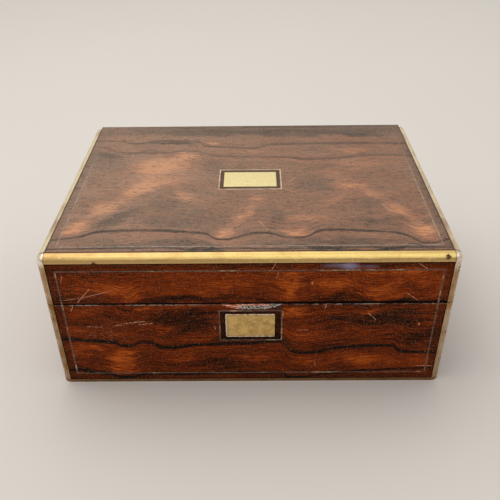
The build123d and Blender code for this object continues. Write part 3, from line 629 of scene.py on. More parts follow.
SIDE_SHEET = Sheet(
    axes=(1, 2, 0),
    guides=(
        Guide(((-113, 22), (-70, 24), (-40, 18), (-10, 21), (30, 27), (64, 24), (113, 26)), 23,
              ink=0.7, thickness=0.8, shade=3.0),
        Guide(((-113, 58), (-80, 61), (-46, 55), (-20, 60), (8, 64), (36, 58), (70, 62),
               (113, 60)), 60, ink=0.85, thickness=0.9, shade=5.0),
        Guide(((-113, 103), (-60, 99), (-24, 104), (20, 98), (56, 103), (113, 100)), 101,
              ink=0.4, thickness=0.7, shade=3.0),
    ),
    glows=((-60, 40, 50, 22, 0, 0.45), (30, 82, 56, 20, 0, 0.4), (66, 36, 36, 24, 0, 0.4),
           (-20, 12, 60, 12, 0, 0.3), (-84, 92, 36, 18, 0, 0.35)),
    shades=((0, 70, 120, 14, 0, 0.4), (-30, 108, 80, 10, 0, 0.3), (20, 30, 60, 14, 0, 0.3),
            (90, 60, 40, 40, 0, 0.2)),
    strokes=((-50, 90, -38, 84, 0.25), (62, 50, 70, 46, 0.2)),
    flecks=((-60, 50, 60, 40, 0, 0.4),),
    border=(200.0, 0.0, 200.0),
    edges=((HALF_DEPTH - EDGING) / MM, FOOT_TOP / MM, (HEIGHT - EDGING) / MM),
)

BACK_SHEET = Sheet(
    axes=(0, 2, 1),
    guides=(
        Guide(((-153, 30), (-100, 26), (-60, 32), (-20, 28), (40, 34), (90, 28), (153, 32)), 30,
              ink=0.8, thickness=0.9, shade=4.0),
        Guide(((-153, 70), (-110, 66), (-70, 72), (-30, 63), (10, 68), (60, 74), (110, 67),
               (153, 70)), 69, ink=0.6, thickness=0.8, shade=4.0),
        Guide(((-153, 106), (-80, 102), (-10, 107), (70, 103), (153, 106)), 105, ink=0.3,
              thickness=0.7, shade=2.0),
    ),
    glows=((-90, 48, 60, 24, 0, 0.4), (40, 50, 70, 22, 0, 0.35), (110, 90, 50, 20, 0, 0.4),
           (-20, 92, 60, 18, 0, 0.3)),
    shades=((0, 16, 160, 14, 0, 0.3), (-60, 78, 80, 12, 0, 0.35), (90, 60, 60, 14, 0, 0.3)),
    strokes=((20, 40, 34, 36, 0.25),),
    border=(200.0, 0.0, 200.0),
    edges=(TOP_HIGH.x / MM, FOOT_TOP / MM, 200.0),
)


def add_spots(recipe, tree, place, ruffle, spots):
    """The sum of a sheet's spots, each as strong as it says."""
    total = 0.0
    for along, across, length, breadth, turn, strength in spots:
        mask = recipe.group(tree, place=place, centre=(along, across, 0.0),
                            half_size=(length / 2, breadth / 2, 1.0), turn=math.radians(turn),
                            ruffle=ruffle)
        total = recipe.math("MULTIPLY_ADD", mask, strength, total)
    return total


def add_strokes(recipe, tree, place, strokes):
    """The strongest of a sheet's strokes at each place."""
    highest = 0.0
    for start_along, start_across, end_along, end_across, thickness in strokes:
        mask = recipe.group(tree, place=place, start=(start_along, start_across, 0.0),
                            end=(end_along, end_across, 0.0), thickness=thickness + 0.12)
        highest = recipe.highest(highest, mask)
    return highest


def vein(recipe, straight, along, guide, waver, crisp):
    """The line of a vein, and the smoke on its upper side."""
    gap = recipe.less(straight, guide.rest)
    ragged = recipe.total(gap, waver)
    core = recipe.step(recipe.size(ragged), guide.thickness * (1.6 - crisp),
                       guide.thickness * crisp)
    smoke = recipe.product(recipe.step(ragged, guide.shade, 0.0),
                           recipe.step(ragged, -guide.thickness, 0.0), 0.6)
    flat = recipe.together(along, guide.rest, 0.0)
    press = recipe.step(recipe.marks(flat, 22, detail=1.0), 0.3, 0.55, 0.65, 1.0)
    strength = recipe.product(press, guide.ink)
    return recipe.product(core, strength), recipe.product(smoke, strength)


def rosewood(name, sheet, spot, stroke, bloom_and_painted_sheen=0.0, specular=0.02, gloss=0.3, seam=False):
    """Polished rosewood with the sheet's veins, flames, smoke, pores and scratches."""
    palette = settings().rosewood
    material, recipe, shader = blank_material(name)
    parts = recipe.apart(recipe.place())
    along, across, deep = (parts[axis] for axis in sheet.axes)
    flat = recipe.together(along, across, 0.0)
    straight = recipe.follow(along, across, sheet.guides)
    run = recipe.together(along, straight, deep)

    band = recipe.marks(run, (120, 9, 60))
    streak = recipe.marks(run, (38, 2.1, 30), detail=3.0, roughness=0.62, distortion=0.15)
    fine = recipe.marks(run, (13, 0.8, 13), roughness=0.65)
    fibre = recipe.marks(run, (4, 0.45, 6), detail=1.0)
    mottle = recipe.marks(flat, (26, 16, 16))
    ragged = recipe.marks(run, (14, 1.4, 8))
    comb = recipe.total(along, recipe.centred(ragged, sheet.comb))
    sway = recipe.total(across, recipe.centred(mottle, 14.0))
    figure = recipe.together(comb, sway, 0.0)
    ruffle = recipe.centred(streak, sheet.ruffle)

    swing = recipe.total(recipe.centred(band, 0.3), recipe.centred(streak, 0.36),
                         recipe.centred(fine, 0.62), recipe.centred(fibre, 0.6),
                         recipe.centred(mottle, 0.14))
    if bloom_and_painted_sheen:
        swing = recipe.product(swing, recipe.step(across, 0.0, 100.0, 1.0, 0.6))
    glow = add_spots(recipe, spot, figure, ruffle, sheet.glows)
    shade = add_spots(recipe, spot, figure, ruffle, sheet.shades)
    tone = recipe.total(recipe.product(swing, sheet.contrast), 0.46,
                        recipe.product(glow, sheet.lift), recipe.product(shade, -sheet.drop))
    colour = recipe.ramp(tone, (0.0, palette.deep), (0.25, palette.dark), (0.5, palette.middle),
                         (0.78, palette.warm), (1.0, palette.flame))

    waver = recipe.centred(recipe.marks(run, (14, 6, 6)), 0.7)
    veins = [vein(recipe, straight, along, guide, waver, sheet.crisp)
             for guide in sheet.guides if guide.ink]
    cores, smokes = zip(*veins)
    smoke = recipe.highest(*smokes, add_spots(recipe, spot, figure, ruffle, sheet.knots))
    pore = recipe.step(recipe.marks(run, (5, 0.5, 3), detail=1.0), 0.6, 0.68)
    dimmed = recipe.blend(recipe.math("MULTIPLY", smoke, 0.8, clamp=True), colour, palette.deep)

    side, low, high = sheet.border
    rim = recipe.highest(recipe.step(recipe.size(along), side, side + 1.5),
                         recipe.step(across, low, low - 1.0), recipe.step(across, high, high + 3.0))
    dimmed = recipe.blend(recipe.product(rim, 0.5), dimmed, palette.dark)

    # On the top, faded polish and a painted sheen of reflected light are laid over the wood.
    if bloom_and_painted_sheen:
        dimmed = fade_and_painted_sheen(recipe, along, across, flat, shade, dimmed, bloom_and_painted_sheen)
    dimmed = recipe.blend(recipe.product(pore, 0.75 if bloom_and_painted_sheen else 0.5), dimmed, palette.deep)
    if sheet.soot:
        sooty = add_spots(recipe, spot, figure, ruffle, sheet.soot)
        dimmed = recipe.blend(sooty, dimmed, palette.vein)
    core = recipe.highest(*cores)
    if bloom_and_painted_sheen:
        core = recipe.product(core, recipe.step(across, 20.0, 60.0, 1.0, 0.65))
    inked = recipe.blend(core, dimmed, palette.vein)
    dusty = recipe.step(recipe.marks(flat, (0.9, 0.7, 0.7), detail=1.0), 0.56, 0.74, 0.0,
                        0.4 if bloom_and_painted_sheen else 0.14)
    inked = recipe.blend(dusty, inked, palette.dust)
    if sheet.panel:
        inked = recipe.blend(recipe.product(framed(recipe, along, across, sheet.panel), 0.8),
                             inked, palette.dark if bloom_and_painted_sheen else palette.deep)
    inked = recipe.blend(dirt_line(recipe, along, across, sheet.edges), inked, palette.deep)
    # Painted reflection: a milky bluish glare laid into the colour.
    if sheet.glare:
        painted_glare = add_spots(recipe, spot, flat, recipe.product(ruffle, 0.7), sheet.glare)
        inked = recipe.blend(painted_glare, inked, palette.glare)

    worn = scratches(recipe, spot, stroke, flat, ruffle, sheet)
    finished = recipe.blend(worn, inked, palette.scratch)
    if seam:
        finished = seam_wear(recipe, along, across, flat, finished)

    smear = recipe.step(recipe.marks(flat, (30, 18, 20), detail=3.0), 0.3, 0.7, gloss - 0.06,
                        gloss + 0.08)
    rough = recipe.total(smear, recipe.product(worn, 0.3), recipe.product(pore, 0.1))
    relief = recipe.total(recipe.product(fine, 0.5), recipe.product(pore, -0.6))
    coat(recipe, shader, {"Base Color": finished, "Roughness": rough,
                          "Normal": recipe.bump(relief, 0.035), "Specular IOR Level": specular})
    return material


def fade_and_painted_sheen(recipe, along, across, flat, shade, colour, amount):
    """Dry, faded polish over the wood, which also paints in the pale sheen of light that the top's
    polish reflects; thin where the figure is dark and toward the right.
    """
    paler = recipe.add("HueSaturation", {"Hue": 0.517, "Saturation": 0.88, "Value": 1.15,
                                         "Fac": 1.0, "Color": colour})
    cloud = recipe.step(recipe.marks(flat, (40, 22, 20), detail=3.0), 0.3, 0.7, 0.85, 1.15)
    powder = recipe.step(recipe.marks(flat, (2.4, 0.8, 0.8)), 0.3, 0.7, 0.7, 1.3)
    # Painted light: the bloom is strongest on the left and fades toward the right and the front edge.
    painted_light_spread = recipe.product(recipe.step(along, -130.0, 130.0, 1.15, 0.68),
                               recipe.step(across, -110.0, 20.0, 0.8, 1.0))
    thin = recipe.math("MULTIPLY_ADD", shade, -0.6, 1.0, clamp=True)
    return recipe.blend(recipe.product(cloud, powder, painted_light_spread, thin, amount), paler,
                        settings().rosewood.bloom_and_painted_sheen)


def scratches(recipe, spot, stroke, flat, ruffle, sheet):
    """1 where a scratch, a chip or a fleck breaks the polish."""
    broken = recipe.step(recipe.marks(flat, (1.6, 0.9, 0.9)), 0.36, 0.56)
    cuts = recipe.product(add_strokes(recipe, stroke, flat, sheet.strokes), broken)
    chips = recipe.step(recipe.marks(flat, (3.2, 0.55, 0.55), detail=1.0), 0.62, 0.72)
    everywhere = recipe.step(recipe.marks(flat, (1.3, 0.5, 0.5), detail=0.0), 0.73, 0.78)
    flecked = recipe.product(add_spots(recipe, spot, flat, ruffle, sheet.flecks), chips, 0.7)
    return recipe.highest(cuts, flecked, recipe.product(everywhere, 0.6))


def seam_wear(recipe, along, across, flat, colour):
    """The base's rubbed edge, and above it black wax with painted shadow along the lid's edge, at the
    seam.
    """
    palette = settings().rosewood
    base_rim, lid_rim = BASE_RIM / MM, LID_RIM / MM
    patches = recipe.step(recipe.marks(flat, (26, 60, 60)), 0.36, 0.54, 0.25, 1.0)
    rubbed = recipe.step(recipe.marks(flat, (3, 1.4, 1.4), detail=3.0), 0.42, 0.58)
    arris = recipe.product(recipe.step(across, base_rim - 1.1, base_rim - 0.5),
                           recipe.step(across, lid_rim, base_rim), rubbed, patches, 0.9)
    shadow = recipe.step(along, -20.0, 40.0, 1.9, 2.9)
    above = recipe.less(across, lid_rim)
    # Painted shadow and black wax: a dark band along the lid's lower edge at the seam.
    grime = recipe.product(recipe.step(recipe.math("DIVIDE", above, shadow), 1.0, 0.45),
                           recipe.step(across, base_rim, lid_rim), 0.98)
    return recipe.blend(grime, recipe.blend(arris, colour, palette.arris), palette.grime)


def framed(recipe, along, across, panel):
    """1 inside the band round a plate."""
    left, right, low, high = panel
    wide = recipe.product(recipe.step(along, left - 0.2, left + 0.2),
                          recipe.step(along, right + 0.2, right - 0.2))
    tall = recipe.product(recipe.step(across, low - 0.2, low + 0.2),
                          recipe.step(across, high + 0.2, high - 0.2))
    return recipe.product(wide, tall)


def dirt_line(recipe, along, across, edges):
    """Dark polish caught where the veneer meets the brass."""
    side, low, high = edges
    reach = recipe.lowest(recipe.less(side, recipe.size(along)), recipe.less(across, low),
                          recipe.less(high, across))
    return recipe.step(reach, 1.1, 0.45, 0.0, 0.9)


def plain_wood(name, axes, pale, dark, ring=6.0, roughness=0.5):
    """Unfigured cabinet timber with its rings, fibres and pores; axes start with the grain's."""
    material, recipe, shader = blank_material(name)
    parts = recipe.apart(recipe.place())
    run = recipe.together(*(parts[axis] for axis in axes))
    rings = recipe.marks(run, (220, ring, ring * 1.7), detail=3.0, distortion=0.4)
    streak = recipe.marks(run, (60, ring / 5, ring / 4), detail=3.0, roughness=0.6)
    fibre = recipe.marks(run, (7, 0.22, 0.22), detail=1.0)
    pore = recipe.step(recipe.marks(run, (3.5, 0.3, 0.3), detail=1.0), 0.6, 0.7)
    tone = recipe.total(recipe.centred(rings, 0.7), recipe.centred(streak, 0.55),
                        recipe.centred(fibre, 0.25), 0.5)
    colour = recipe.ramp(tone, (0.0, dark), (1.0, pale))
    colour = recipe.blend(recipe.product(pore, 0.5), colour, dark, mode="MULTIPLY")
    stain = recipe.step(recipe.marks(run, (50, 30, 30), detail=3.0), 0.4, 0.75, 0.0, 0.35)
    colour = recipe.blend(stain, colour, dark)
    rough = recipe.step(rings, 0.3, 0.7, roughness, roughness + 0.12)
    relief = recipe.total(fibre, recipe.product(pore, -0.8))
    coat(recipe, shader, {"Base Color": colour, "Roughness": rough,
                          "Normal": recipe.bump(relief, 0.05), "Specular IOR Level": 0.35})
    return material


def brass(name, bright, dull, stroke_size, tarnish=0.3, roughness=0.26, patch=14.0, grain=0.0,
          worn=None):
    """Aged brass, rubbed along stroke_size, clouded with tarnish, with wear of its own kind."""
    material, recipe, shader = blank_material(name)
    place = recipe.place()
    cloud = recipe.marks(place, patch, detail=4.0, roughness=0.6)
    rub = recipe.marks(place, stroke_size, detail=3.0, roughness=0.65)
    speck = recipe.step(recipe.marks(place, 0.9), 0.66, 0.76)
    stain = recipe.total(recipe.step(cloud, 0.35, 0.75, 0.0, tarnish), recipe.centred(rub, 0.5),
                         recipe.product(speck, 0.4))
    if grain:
        gritty = recipe.marks(place, (1.4, 0.7, 0.7), roughness=0.7)
        stain = recipe.total(stain, recipe.centred(gritty, grain))
    if worn:
        stain = recipe.total(stain, worn(recipe, place))
    colour = recipe.blend(recipe.math("ADD", stain, 0.0, clamp=True), bright, dull)
    if worn:
        colour = recipe.blend(joint_dirt(recipe, place), colour, settings().brass.grime)
    rough = recipe.total(recipe.step(cloud, 0.3, 0.7, roughness, roughness + 0.14),
                         recipe.product(speck, 0.2), recipe.centred(rub, 0.08))
    relief = recipe.total(rub, recipe.product(speck, -0.7),
                          recipe.product(recipe.marks(place, 18), 2.0))
    coat(recipe, shader, {"Base Color": colour, "Roughness": rough,
                          "Normal": recipe.bump(relief, 0.02), "Metallic": 1.0})
    return material


# Marks on the strips, in millimetres on the box

BRUISE = (141.0, -111.4, 122.3)
NICK = (-110.5, -112.0, 118.4)
DIRTY_LID_PINS = (112.7, 109.6)
DIRTY_BASE_PIN = 50.7


def joint_dirt(recipe, place):
    """Dark hairlines where the strips meet and end at the seam, a bruised pin and a nick."""
    x, y, z = recipe.apart(place)
    ends = (recipe.less(recipe.size(x), TOP_HIGH.x / MM),
            recipe.less(recipe.size(y), (HALF_DEPTH - EDGING) / MM),
            recipe.less(z, (BASE_RIM + LID_RIM) / 2 / MM))
    lines = [recipe.step(recipe.size(end), width, width * 0.4, 0.0, strength)
             for end, width, strength in zip(ends, (0.6, 0.75, 0.7), (0.5, 0.9, 0.45))]
    high = recipe.step(z, (HEIGHT - EDGING) / MM - 1.0, (HEIGHT - EDGING) / MM + 1.0)
    uneven = recipe.centred(recipe.marks(place, 1.6), 1.8)
    bruises = []
    for spot, reach in ((BRUISE, 3.0), (NICK, 2.4)):
        gap = recipe.vector("DISTANCE", place, spot, result="Value")
        bruises.append(recipe.step(recipe.total(gap, uneven), reach, reach * 0.4, 0.0, 0.85))
    return recipe.highest(recipe.product(recipe.highest(lines[0], lines[1]), high), lines[2],
                          *bruises)


def strip_tarnish_and_painted_light(recipe, place):
    """Darker foot of the front strip, partly tarnish and partly painted shade for the dim room its
    lower curve reflects, with painted glints left in it; a painted dim band along its upper edge;
    tarnish deeper toward its left end.
    """
    x, y, z = recipe.apart(place)
    ragged = recipe.centred(recipe.marks(place, (12, 2, 1.2), detail=4.0, roughness=0.65), 1.6)
    # Partly tarnish, partly painted shade: the strip's lower curve is darkened.
    low = recipe.step(recipe.total(z, ragged), HEIGHT / MM - 2.6, HEIGHT / MM - 3.6)
    # Painted glints: pale specks left clear in the darker foot.
    glints = recipe.step(recipe.marks(place, (2.2, 0.8, 0.7), detail=1.0), 0.62, 0.7)
    left = recipe.step(recipe.total(x, recipe.product(ragged, 9.0)), -118.0, -142.0, 0.0, 0.55)
    faded = recipe.step(x, 60.0, -60.0, 0.0, 0.45)
    # Painted shade: the top edge is dimmed so that the brightest band falls lower.
    painted_dim_top = recipe.step(z, HEIGHT / MM - 1.3, HEIGHT / MM - 0.4, 0.0, 0.5)
    return recipe.total(recipe.product(low, recipe.math("MULTIPLY_ADD", glints, -0.9, 1.0)), left,
                        faded, painted_dim_top)


def upright_wear(recipe, place):
    """Brown tarnish that starts below the ball end, whose pale colour is partly rubbed brass and
    partly painted highlight, and deepens at the seam.
    """
    x, y, z = recipe.apart(place)
    ragged = recipe.centred(recipe.marks(place, (4, 4, 9), detail=3.0), 9.0)
    top = HEIGHT / MM
    below = recipe.step(recipe.total(z, ragged), top - 2.0, top - 12.0, 0.0, 0.8)
    seam = recipe.step(recipe.size(recipe.less(z, LID_RIM / MM)), 6.0, 1.0, 0.0, 0.4)
    return recipe.total(below, seam)


def plain_wear(recipe, place):
    """Patches of tarnish along a strip that hands seldom touch."""
    return recipe.step(recipe.marks(place, (9, 26, 9), detail=3.0), 0.45, 0.7, 0.0, 0.45)


def line_brass(name):
    """Thin inlaid brass, worn to a grey thread and lost under the polish in places."""
    palette = settings().brass
    material, recipe, shader = blank_material(name)
    place = recipe.place()
    x, y, z = recipe.apart(place)
    on_top = recipe.step(z, HEIGHT / MM - 0.8, HEIGHT / MM - 0.4)
    near = recipe.product(recipe.step(recipe.size(x), 36.0, 32.0),
                          recipe.step(recipe.size(y), 26.0, 22.0))
    colour = recipe.blend(on_top, palette.line, palette.top_line)
    colour = recipe.blend(recipe.product(on_top, near), colour, palette.plate_line)
    rubbed = recipe.step(recipe.marks(place, (14, 6, 6)), 0.52, 0.66, 0.0, 0.75)
    rubbed = recipe.product(rubbed, recipe.less(1.0, on_top))
    colour = recipe.blend(rubbed, colour, palette.plate_line)
    lost = recipe.step(recipe.marks(place, 7, detail=3.0, roughness=0.7), 0.42, 0.6)
    far = recipe.product(recipe.step(y, 0.0, 60.0, 0.0, 0.55), recipe.less(1.0, near))
    hidden = recipe.product(lost, recipe.math("MULTIPLY_ADD", on_top, -0.35, 0.75))
    hidden = recipe.highest(hidden, recipe.product(on_top, far))
    colour = recipe.blend(hidden, colour, settings().rosewood.dark)
    speck = recipe.marks(place, 1.2)
    colour = recipe.blend(recipe.step(speck, 0.5, 0.75, 0.0, 0.5), colour, palette.grime)
    coat(recipe, shader, {"Base Color": colour, "Normal": recipe.bump(speck, 0.04),
                          "Roughness": recipe.step(speck, 0.3, 0.7, 0.4, 0.6)})
    return material


def pile_cloth(name, shade, dark_share, nap, sheen):
    """Velvet or baize: short pile that catches light at its edge and is brushed in patches."""
    material, recipe, shader = blank_material(name)
    place = recipe.place()
    pile = recipe.marks(place, nap, roughness=0.7)
    brushed = recipe.step(recipe.marks(place, (24, 16, 20), detail=3.0), 0.35, 0.68)
    fade = recipe.step(recipe.marks(place, (90, 70, 60)), 0.4, 0.75)
    deep = tuple(part * dark_share for part in shade[:3]) + (1.0,)
    pale = tuple(min(1.0, part * 1.5 + 0.02) for part in shade[:3]) + (1.0,)
    tone = recipe.total(recipe.product(pile, 0.7), recipe.product(brushed, 0.3))
    colour = recipe.blend(recipe.math("ADD", tone, 0.0, clamp=True), deep, shade)
    colour = recipe.blend(recipe.product(fade, 0.35), colour, pale)
    coat(recipe, shader, {
        "Base Color": colour, "Roughness": recipe.line(pile, 0.2, 0.8, 0.8, 1.0),
        "Normal": recipe.bump(pile, 0.25), "Specular IOR Level": 0.15, "Sheen Weight": sheen,
        "Sheen Roughness": 0.4, "Sheen Tint": pale})
    return material


def filler(name):
    """Raw splintered wood, pink at the upper left, and grey filler rubbed into the rest."""
    material, recipe, shader = blank_material(name)
    place = recipe.place()
    x, y, z = recipe.apart(place)
    left, right, top = REPAIR_LOW.x / MM, REPAIR_HIGH.x / MM, REPAIR_HIGH.z / MM
    ragged = recipe.centred(recipe.marks(place, (5, 5, 2), detail=4.0, roughness=0.7), 9.0)
    wander = recipe.total(x, ragged)
    splinter = recipe.step(wander, left + 18.0, left + 12.0)
    ledge = recipe.product(recipe.step(z, top - 1.8, top - 1.1),
                           recipe.step(wander, right - 6.0, right - 12.0))
    raw = recipe.highest(splinter, ledge)
    fibre = recipe.marks(place, (3.4, 1.0, 0.9), detail=3.0, roughness=0.7)
    grit = recipe.marks(place, (1.5, 1.2, 0.9), detail=3.0, roughness=0.75)
    pink = recipe.ramp(fibre, (0.38, srgb(110, 46, 28)), (0.5, srgb(232, 140, 104)),
                       (0.62, srgb(255, 222, 206)))
    grey = recipe.ramp(grit, (0.4, srgb(16, 12, 11)), (0.48, srgb(96, 84, 76)),
                       (0.57, srgb(232, 220, 208)))
    mixed = recipe.blend(raw, grey, pink)
    low = recipe.math("MULTIPLY_ADD", recipe.less(right + 1.0, x), -0.42, top)
    low = recipe.highest(low, REPAIR_LOW.z / MM + 0.35)
    depth = recipe.total(z, recipe.product(low, -1.0), recipe.centred(grit, 1.2))
    drop = recipe.step(depth, 0.5, 0.0, 0.0, 0.92)
    coat(recipe, shader, {
        "Base Color": recipe.blend(drop, mixed, srgb(64, 26, 14)),
        "Roughness": recipe.line(grit, 0.3, 0.7, 0.7, 0.95), "Specular IOR Level": 0.1,
        "Normal": recipe.bump(grit, 0.2)})
    return material


def bottle_glass(name):
    """Clear pressed glass with the faint ripple of its mould."""
    material, recipe, shader = blank_material(name)
    place = recipe.place()
    ripple = recipe.marks(place, (7, 7, 9))
    tint = recipe.blend(recipe.step(ripple, 0.3, 0.7, 0.0, 0.4), srgb(236, 246, 242),
                        srgb(214, 234, 228))
    coat(recipe, shader, {
        "Base Color": tint, "Roughness": recipe.line(ripple, 0.3, 0.7, 0.05, 0.12),
        "Normal": recipe.bump(ripple, 0.008), "Transmission Weight": 1.0, "IOR": 1.5})
    return material


def floor_paint(name, colour):
    """Plain pale paint with the least unevenness."""
    material, recipe, shader = blank_material(name)
    shift = recipe.marks(recipe.place(), 300)
    dimmer = tuple(part * 0.97 for part in colour[:3]) + (1.0,)
    coat(recipe, shader, {"Base Color": recipe.blend(shift, dimmer, tuple(colour)),
                          "Roughness": 0.9, "Specular IOR Level": 0.1})
    return material


def paint(mesh, material):
    """Gives a mesh its only finish."""
    mesh.materials.clear()
    mesh.materials.append(material)


def dress(material, *names):
    """Gives CAD pieces a finish."""
    for name in names:
        paint(frame["nodes"][name].data, material)


# Mesh helpers

def placed(name, data):
    """A new object in the scene."""
    item = bpy.data.objects.new(name, data)
    bpy.context.scene.collection.objects.link(item)
    return item


def meshed(name, shape):
    """A bmesh made into a mesh."""
    mesh = bpy.data.meshes.new(name)
    shape.to_mesh(mesh)
    shape.free()
    return mesh


def smoothed(mesh, smooth=True):
    """Shades every face of a mesh smooth or flat."""
    for face in mesh.polygons:
        face.use_smooth = smooth


def new_piece(name, shape, material, body, smooth=False):
    """A finished piece from a bmesh, at the origin, riding on its body."""
    bmesh.ops.recalc_face_normals(shape, faces=shape.faces)
    piece = placed(name, meshed(name, shape))
    smoothed(piece.data, smooth)
    paint(piece.data, material)
    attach(piece, body)
    return piece


def baked(piece):
    """Turns a piece with modifiers into a plain mesh, and takes the modifiers off."""
    graph = bpy.context.evaluated_depsgraph_get()
    mesh = bpy.data.meshes.new_from_object(piece.evaluated_get(graph))
    mesh.name = piece.name
    piece.modifiers.clear()
    piece.data = mesh
    return piece


def welded(mesh):
    """A bmesh of a CAD mesh with the points of neighbouring facets joined."""
    shape = bmesh.new()
    shape.from_mesh(mesh)
    bmesh.ops.remove_doubles(shape, verts=shape.verts, dist=WELD)
    return shape


def in_cells(piece, size):
    """Remeshes a piece into even cells."""
    cells = piece.modifiers.new("cells", "REMESH")
    cells.mode = "VOXEL"
    cells.voxel_size = size
    baked(piece)


def plate_shape(outline, back, face, bevel, axis):
    """A flat plate from an outline, raised along an axis, with its face's edges bevelled."""
    shape = bmesh.new()
    def spot(point, level):
        first, second = point
        return (first, level, second) if axis == 1 else (first, second, level)
    corners = [shape.verts.new(spot(point, back)) for point in outline]
    base = shape.faces.new(corners)
    grown = bmesh.ops.extrude_face_region(shape, geom=[base], use_keep_orig=True)
    risen = [item for item in grown["geom"] if isinstance(item, bmesh.types.BMVert)]
    shift = Vector(spot((0.0, 0.0), face - back))
    bmesh.ops.translate(shape, verts=risen, vec=shift)
    rim = [edge for edge in shape.edges if all(vert in risen for vert in edge.verts)]
    bmesh.ops.bevel(shape, geom=rim, offset=bevel, segments=3, profile=0.5, affect="EDGES")
    return shape


def rounded_outline(low, high, radius, steps=5):
    """The corners of a rectangle with small round corners."""
    points = []
    centres = ((high[0] - radius, high[1] - radius, 0.0), (low[0] + radius, high[1] - radius, 90.0),
               (low[0] + radius, low[1] + radius, 180.0), (high[0] - radius, low[1] + radius, 270.0))
    for x, y, start in centres:
        for step in range(steps + 1):
            turn = math.radians(start + 90.0 * step / steps)
            points.append((x + radius * math.cos(turn), y + radius * math.sin(turn)))
    return points


def wavy_outline(low, high, radius, wave, pitch):
    """A rounded rectangle whose sides wander by a wave, with a point every pitch."""
    noise.seed_set(WAVE_SEED)
    corners = rounded_outline(low, high, radius)
    points = []
    for start, end in zip(corners, corners[1:] + corners[:1]):
        start, end = Vector(start), Vector(end)
        count = max(1, round((end - start).length / pitch))
        for step in range(count):
            spot = start.lerp(end, step / count)
            shift = noise.noise_vector(Vector((spot.x, spot.y, 0.0)) / (2.2 * MM)) * wave
            points.append((spot.x + shift.x, spot.y + shift.y))
    return points


# Operators

class BoxOperator(bpy.types.Operator):
    """What the box's operators share."""
    bl_options = {"REGISTER", "UNDO"}


class STATIONERY_OT_rosewood(BoxOperator):
    """Lay the figured rosewood on the lid's top, the front, the sides and the back"""
    bl_idname = "stationery.rosewood"
    bl_label = "Rosewood Veneers"

    def execute(self, context):
        palette = settings().rosewood
        spot, stroke = spot_tree(), stroke_tree()
        top = rosewood("rosewood top", TOP_SHEET, spot, stroke, bloom_and_painted_sheen=palette.bloom_and_painted_sheen_amount,
                       specular=0.3, gloss=0.42)
        front = rosewood("rosewood front", FRONT_SHEET, spot, stroke, seam=True)
        sides = rosewood("rosewood sides", SIDE_SHEET, spot, stroke)
        back = rosewood("rosewood back", BACK_SHEET, spot, stroke)
        dress(top, "lid_top_veneer")
        dress(front, "lid_front_veneer", "base_front_veneer")
        dress(sides, "lid_left_veneer", "lid_right_veneer", "base_left_veneer",
              "base_right_veneer")
        dress(back, "lid_back_veneer", "base_back_veneer")
        return {"FINISHED"}


class STATIONERY_OT_timber(BoxOperator):
    """Finish the dovetailed carcass and the waxed inner woodwork"""
    bl_idname = "stationery.timber"
    bl_label = "Carcass and Inner Wood"

    def execute(self, context):
        pale, dark = srgb(150, 98, 60), srgb(92, 54, 32)
        long_boards = plain_wood("carcass along x", (0, 2, 1), pale, dark)
        short_boards = plain_wood("carcass along y", (1, 2, 0), pale, dark)
        flat_boards = plain_wood("carcass flat", (0, 1, 2), pale, dark, ring=11.0)
        dress(long_boards, "base_front_board", "base_back_board", "lid_front_board",
              "lid_back_board")
        dress(short_boards, "base_left_board", "base_right_board", "lid_left_board",
              "lid_right_board")
        dress(flat_boards, "bottom_board", "lid_top_board")
        waxed_pale, waxed_dark = srgb(136, 72, 38), srgb(74, 32, 18)
        fittings = plain_wood("waxed inner wood", (0, 2, 1), waxed_pale, waxed_dark, ring=8.0,
                              roughness=0.34)
        dress(fittings, "rack_partition", "letter_divider_front", "letter_divider_back",
              "tray_ledges", "pen_tray", "well_liner")
        return {"FINISHED"}


class STATIONERY_OT_edging(BoxOperator):
    """Finish the brass edging, the foot band and the thin inlaid lines"""
    bl_idname = "stationery.edging"
    bl_label = "Brass Edging and Lines"

    def execute(self, context):
        palette = settings().brass
        dress(brass("edging across", palette.edging, palette.strip_foot_tarnish_and_painted_shade, (46, 0.7, 0.6),
                    tarnish=0.2, roughness=0.36, grain=0.5, worn=strip_tarnish_and_painted_light), "lid_front_edging")
        for side, bright in (("left", palette.left_edging), ("right", palette.right_edging)):
            dress(brass(f"edging {side}", bright, palette.tarnish, (0.7, 46, 0.6), roughness=0.36,
                        worn=plain_wear), f"lid_{side}_edging")
        for title, dull, corners in (
                ("edging upright", palette.upright_dull, ("base_right", "lid_left", "lid_right")),
                ("edging upright gold", palette.upright_gold, ("base_left",))):
            metal = brass(title, palette.upright, dull, (0.7, 0.7, 30), roughness=0.18,
                          worn=upright_wear)
            for corner in corners:
                part, side = corner.split("_")
                dress(metal, f"{part}_corner_front_{side}", f"{part}_corner_back_{side}")
        dress(brass("foot brass", palette.foot, palette.grime, (24, 24, 0.7), tarnish=0.4,
                    roughness=0.42), "foot_band")
        dress(line_brass("line brass"), "lid_stringing", "base_stringing")
        return {"FINISHED"}


def pin_tree():
    """Geometry nodes that set a filed pin head on each point, facing as the point says."""
    tree, recipe, given = geometry_tree("edging pins", "Head radius", "Rise")
    head = recipe.add("GeometryNodeMeshCone", {
        "Vertices": 14, "Radius Top": recipe.product(given["Head radius"], 0.86),
        "Radius Bottom": given["Head radius"], "Depth": given["Rise"]}, result="Mesh")
    heads = recipe.add("GeometryNodeInstanceOnPoints", {
        "Points": given["Geometry"], "Instance": head, "Rotation": aimed(recipe)})
    close_geometry(recipe, heads, given["Material"])
    return tree


def row(start, end, spacing):
    """Places about a spacing apart from start to end, both ends included."""
    start, end = Vector(start), Vector(end)
    count = max(1, round((end - start).length / spacing))
    return [start.lerp(end, step / count) for step in range(count + 1)]


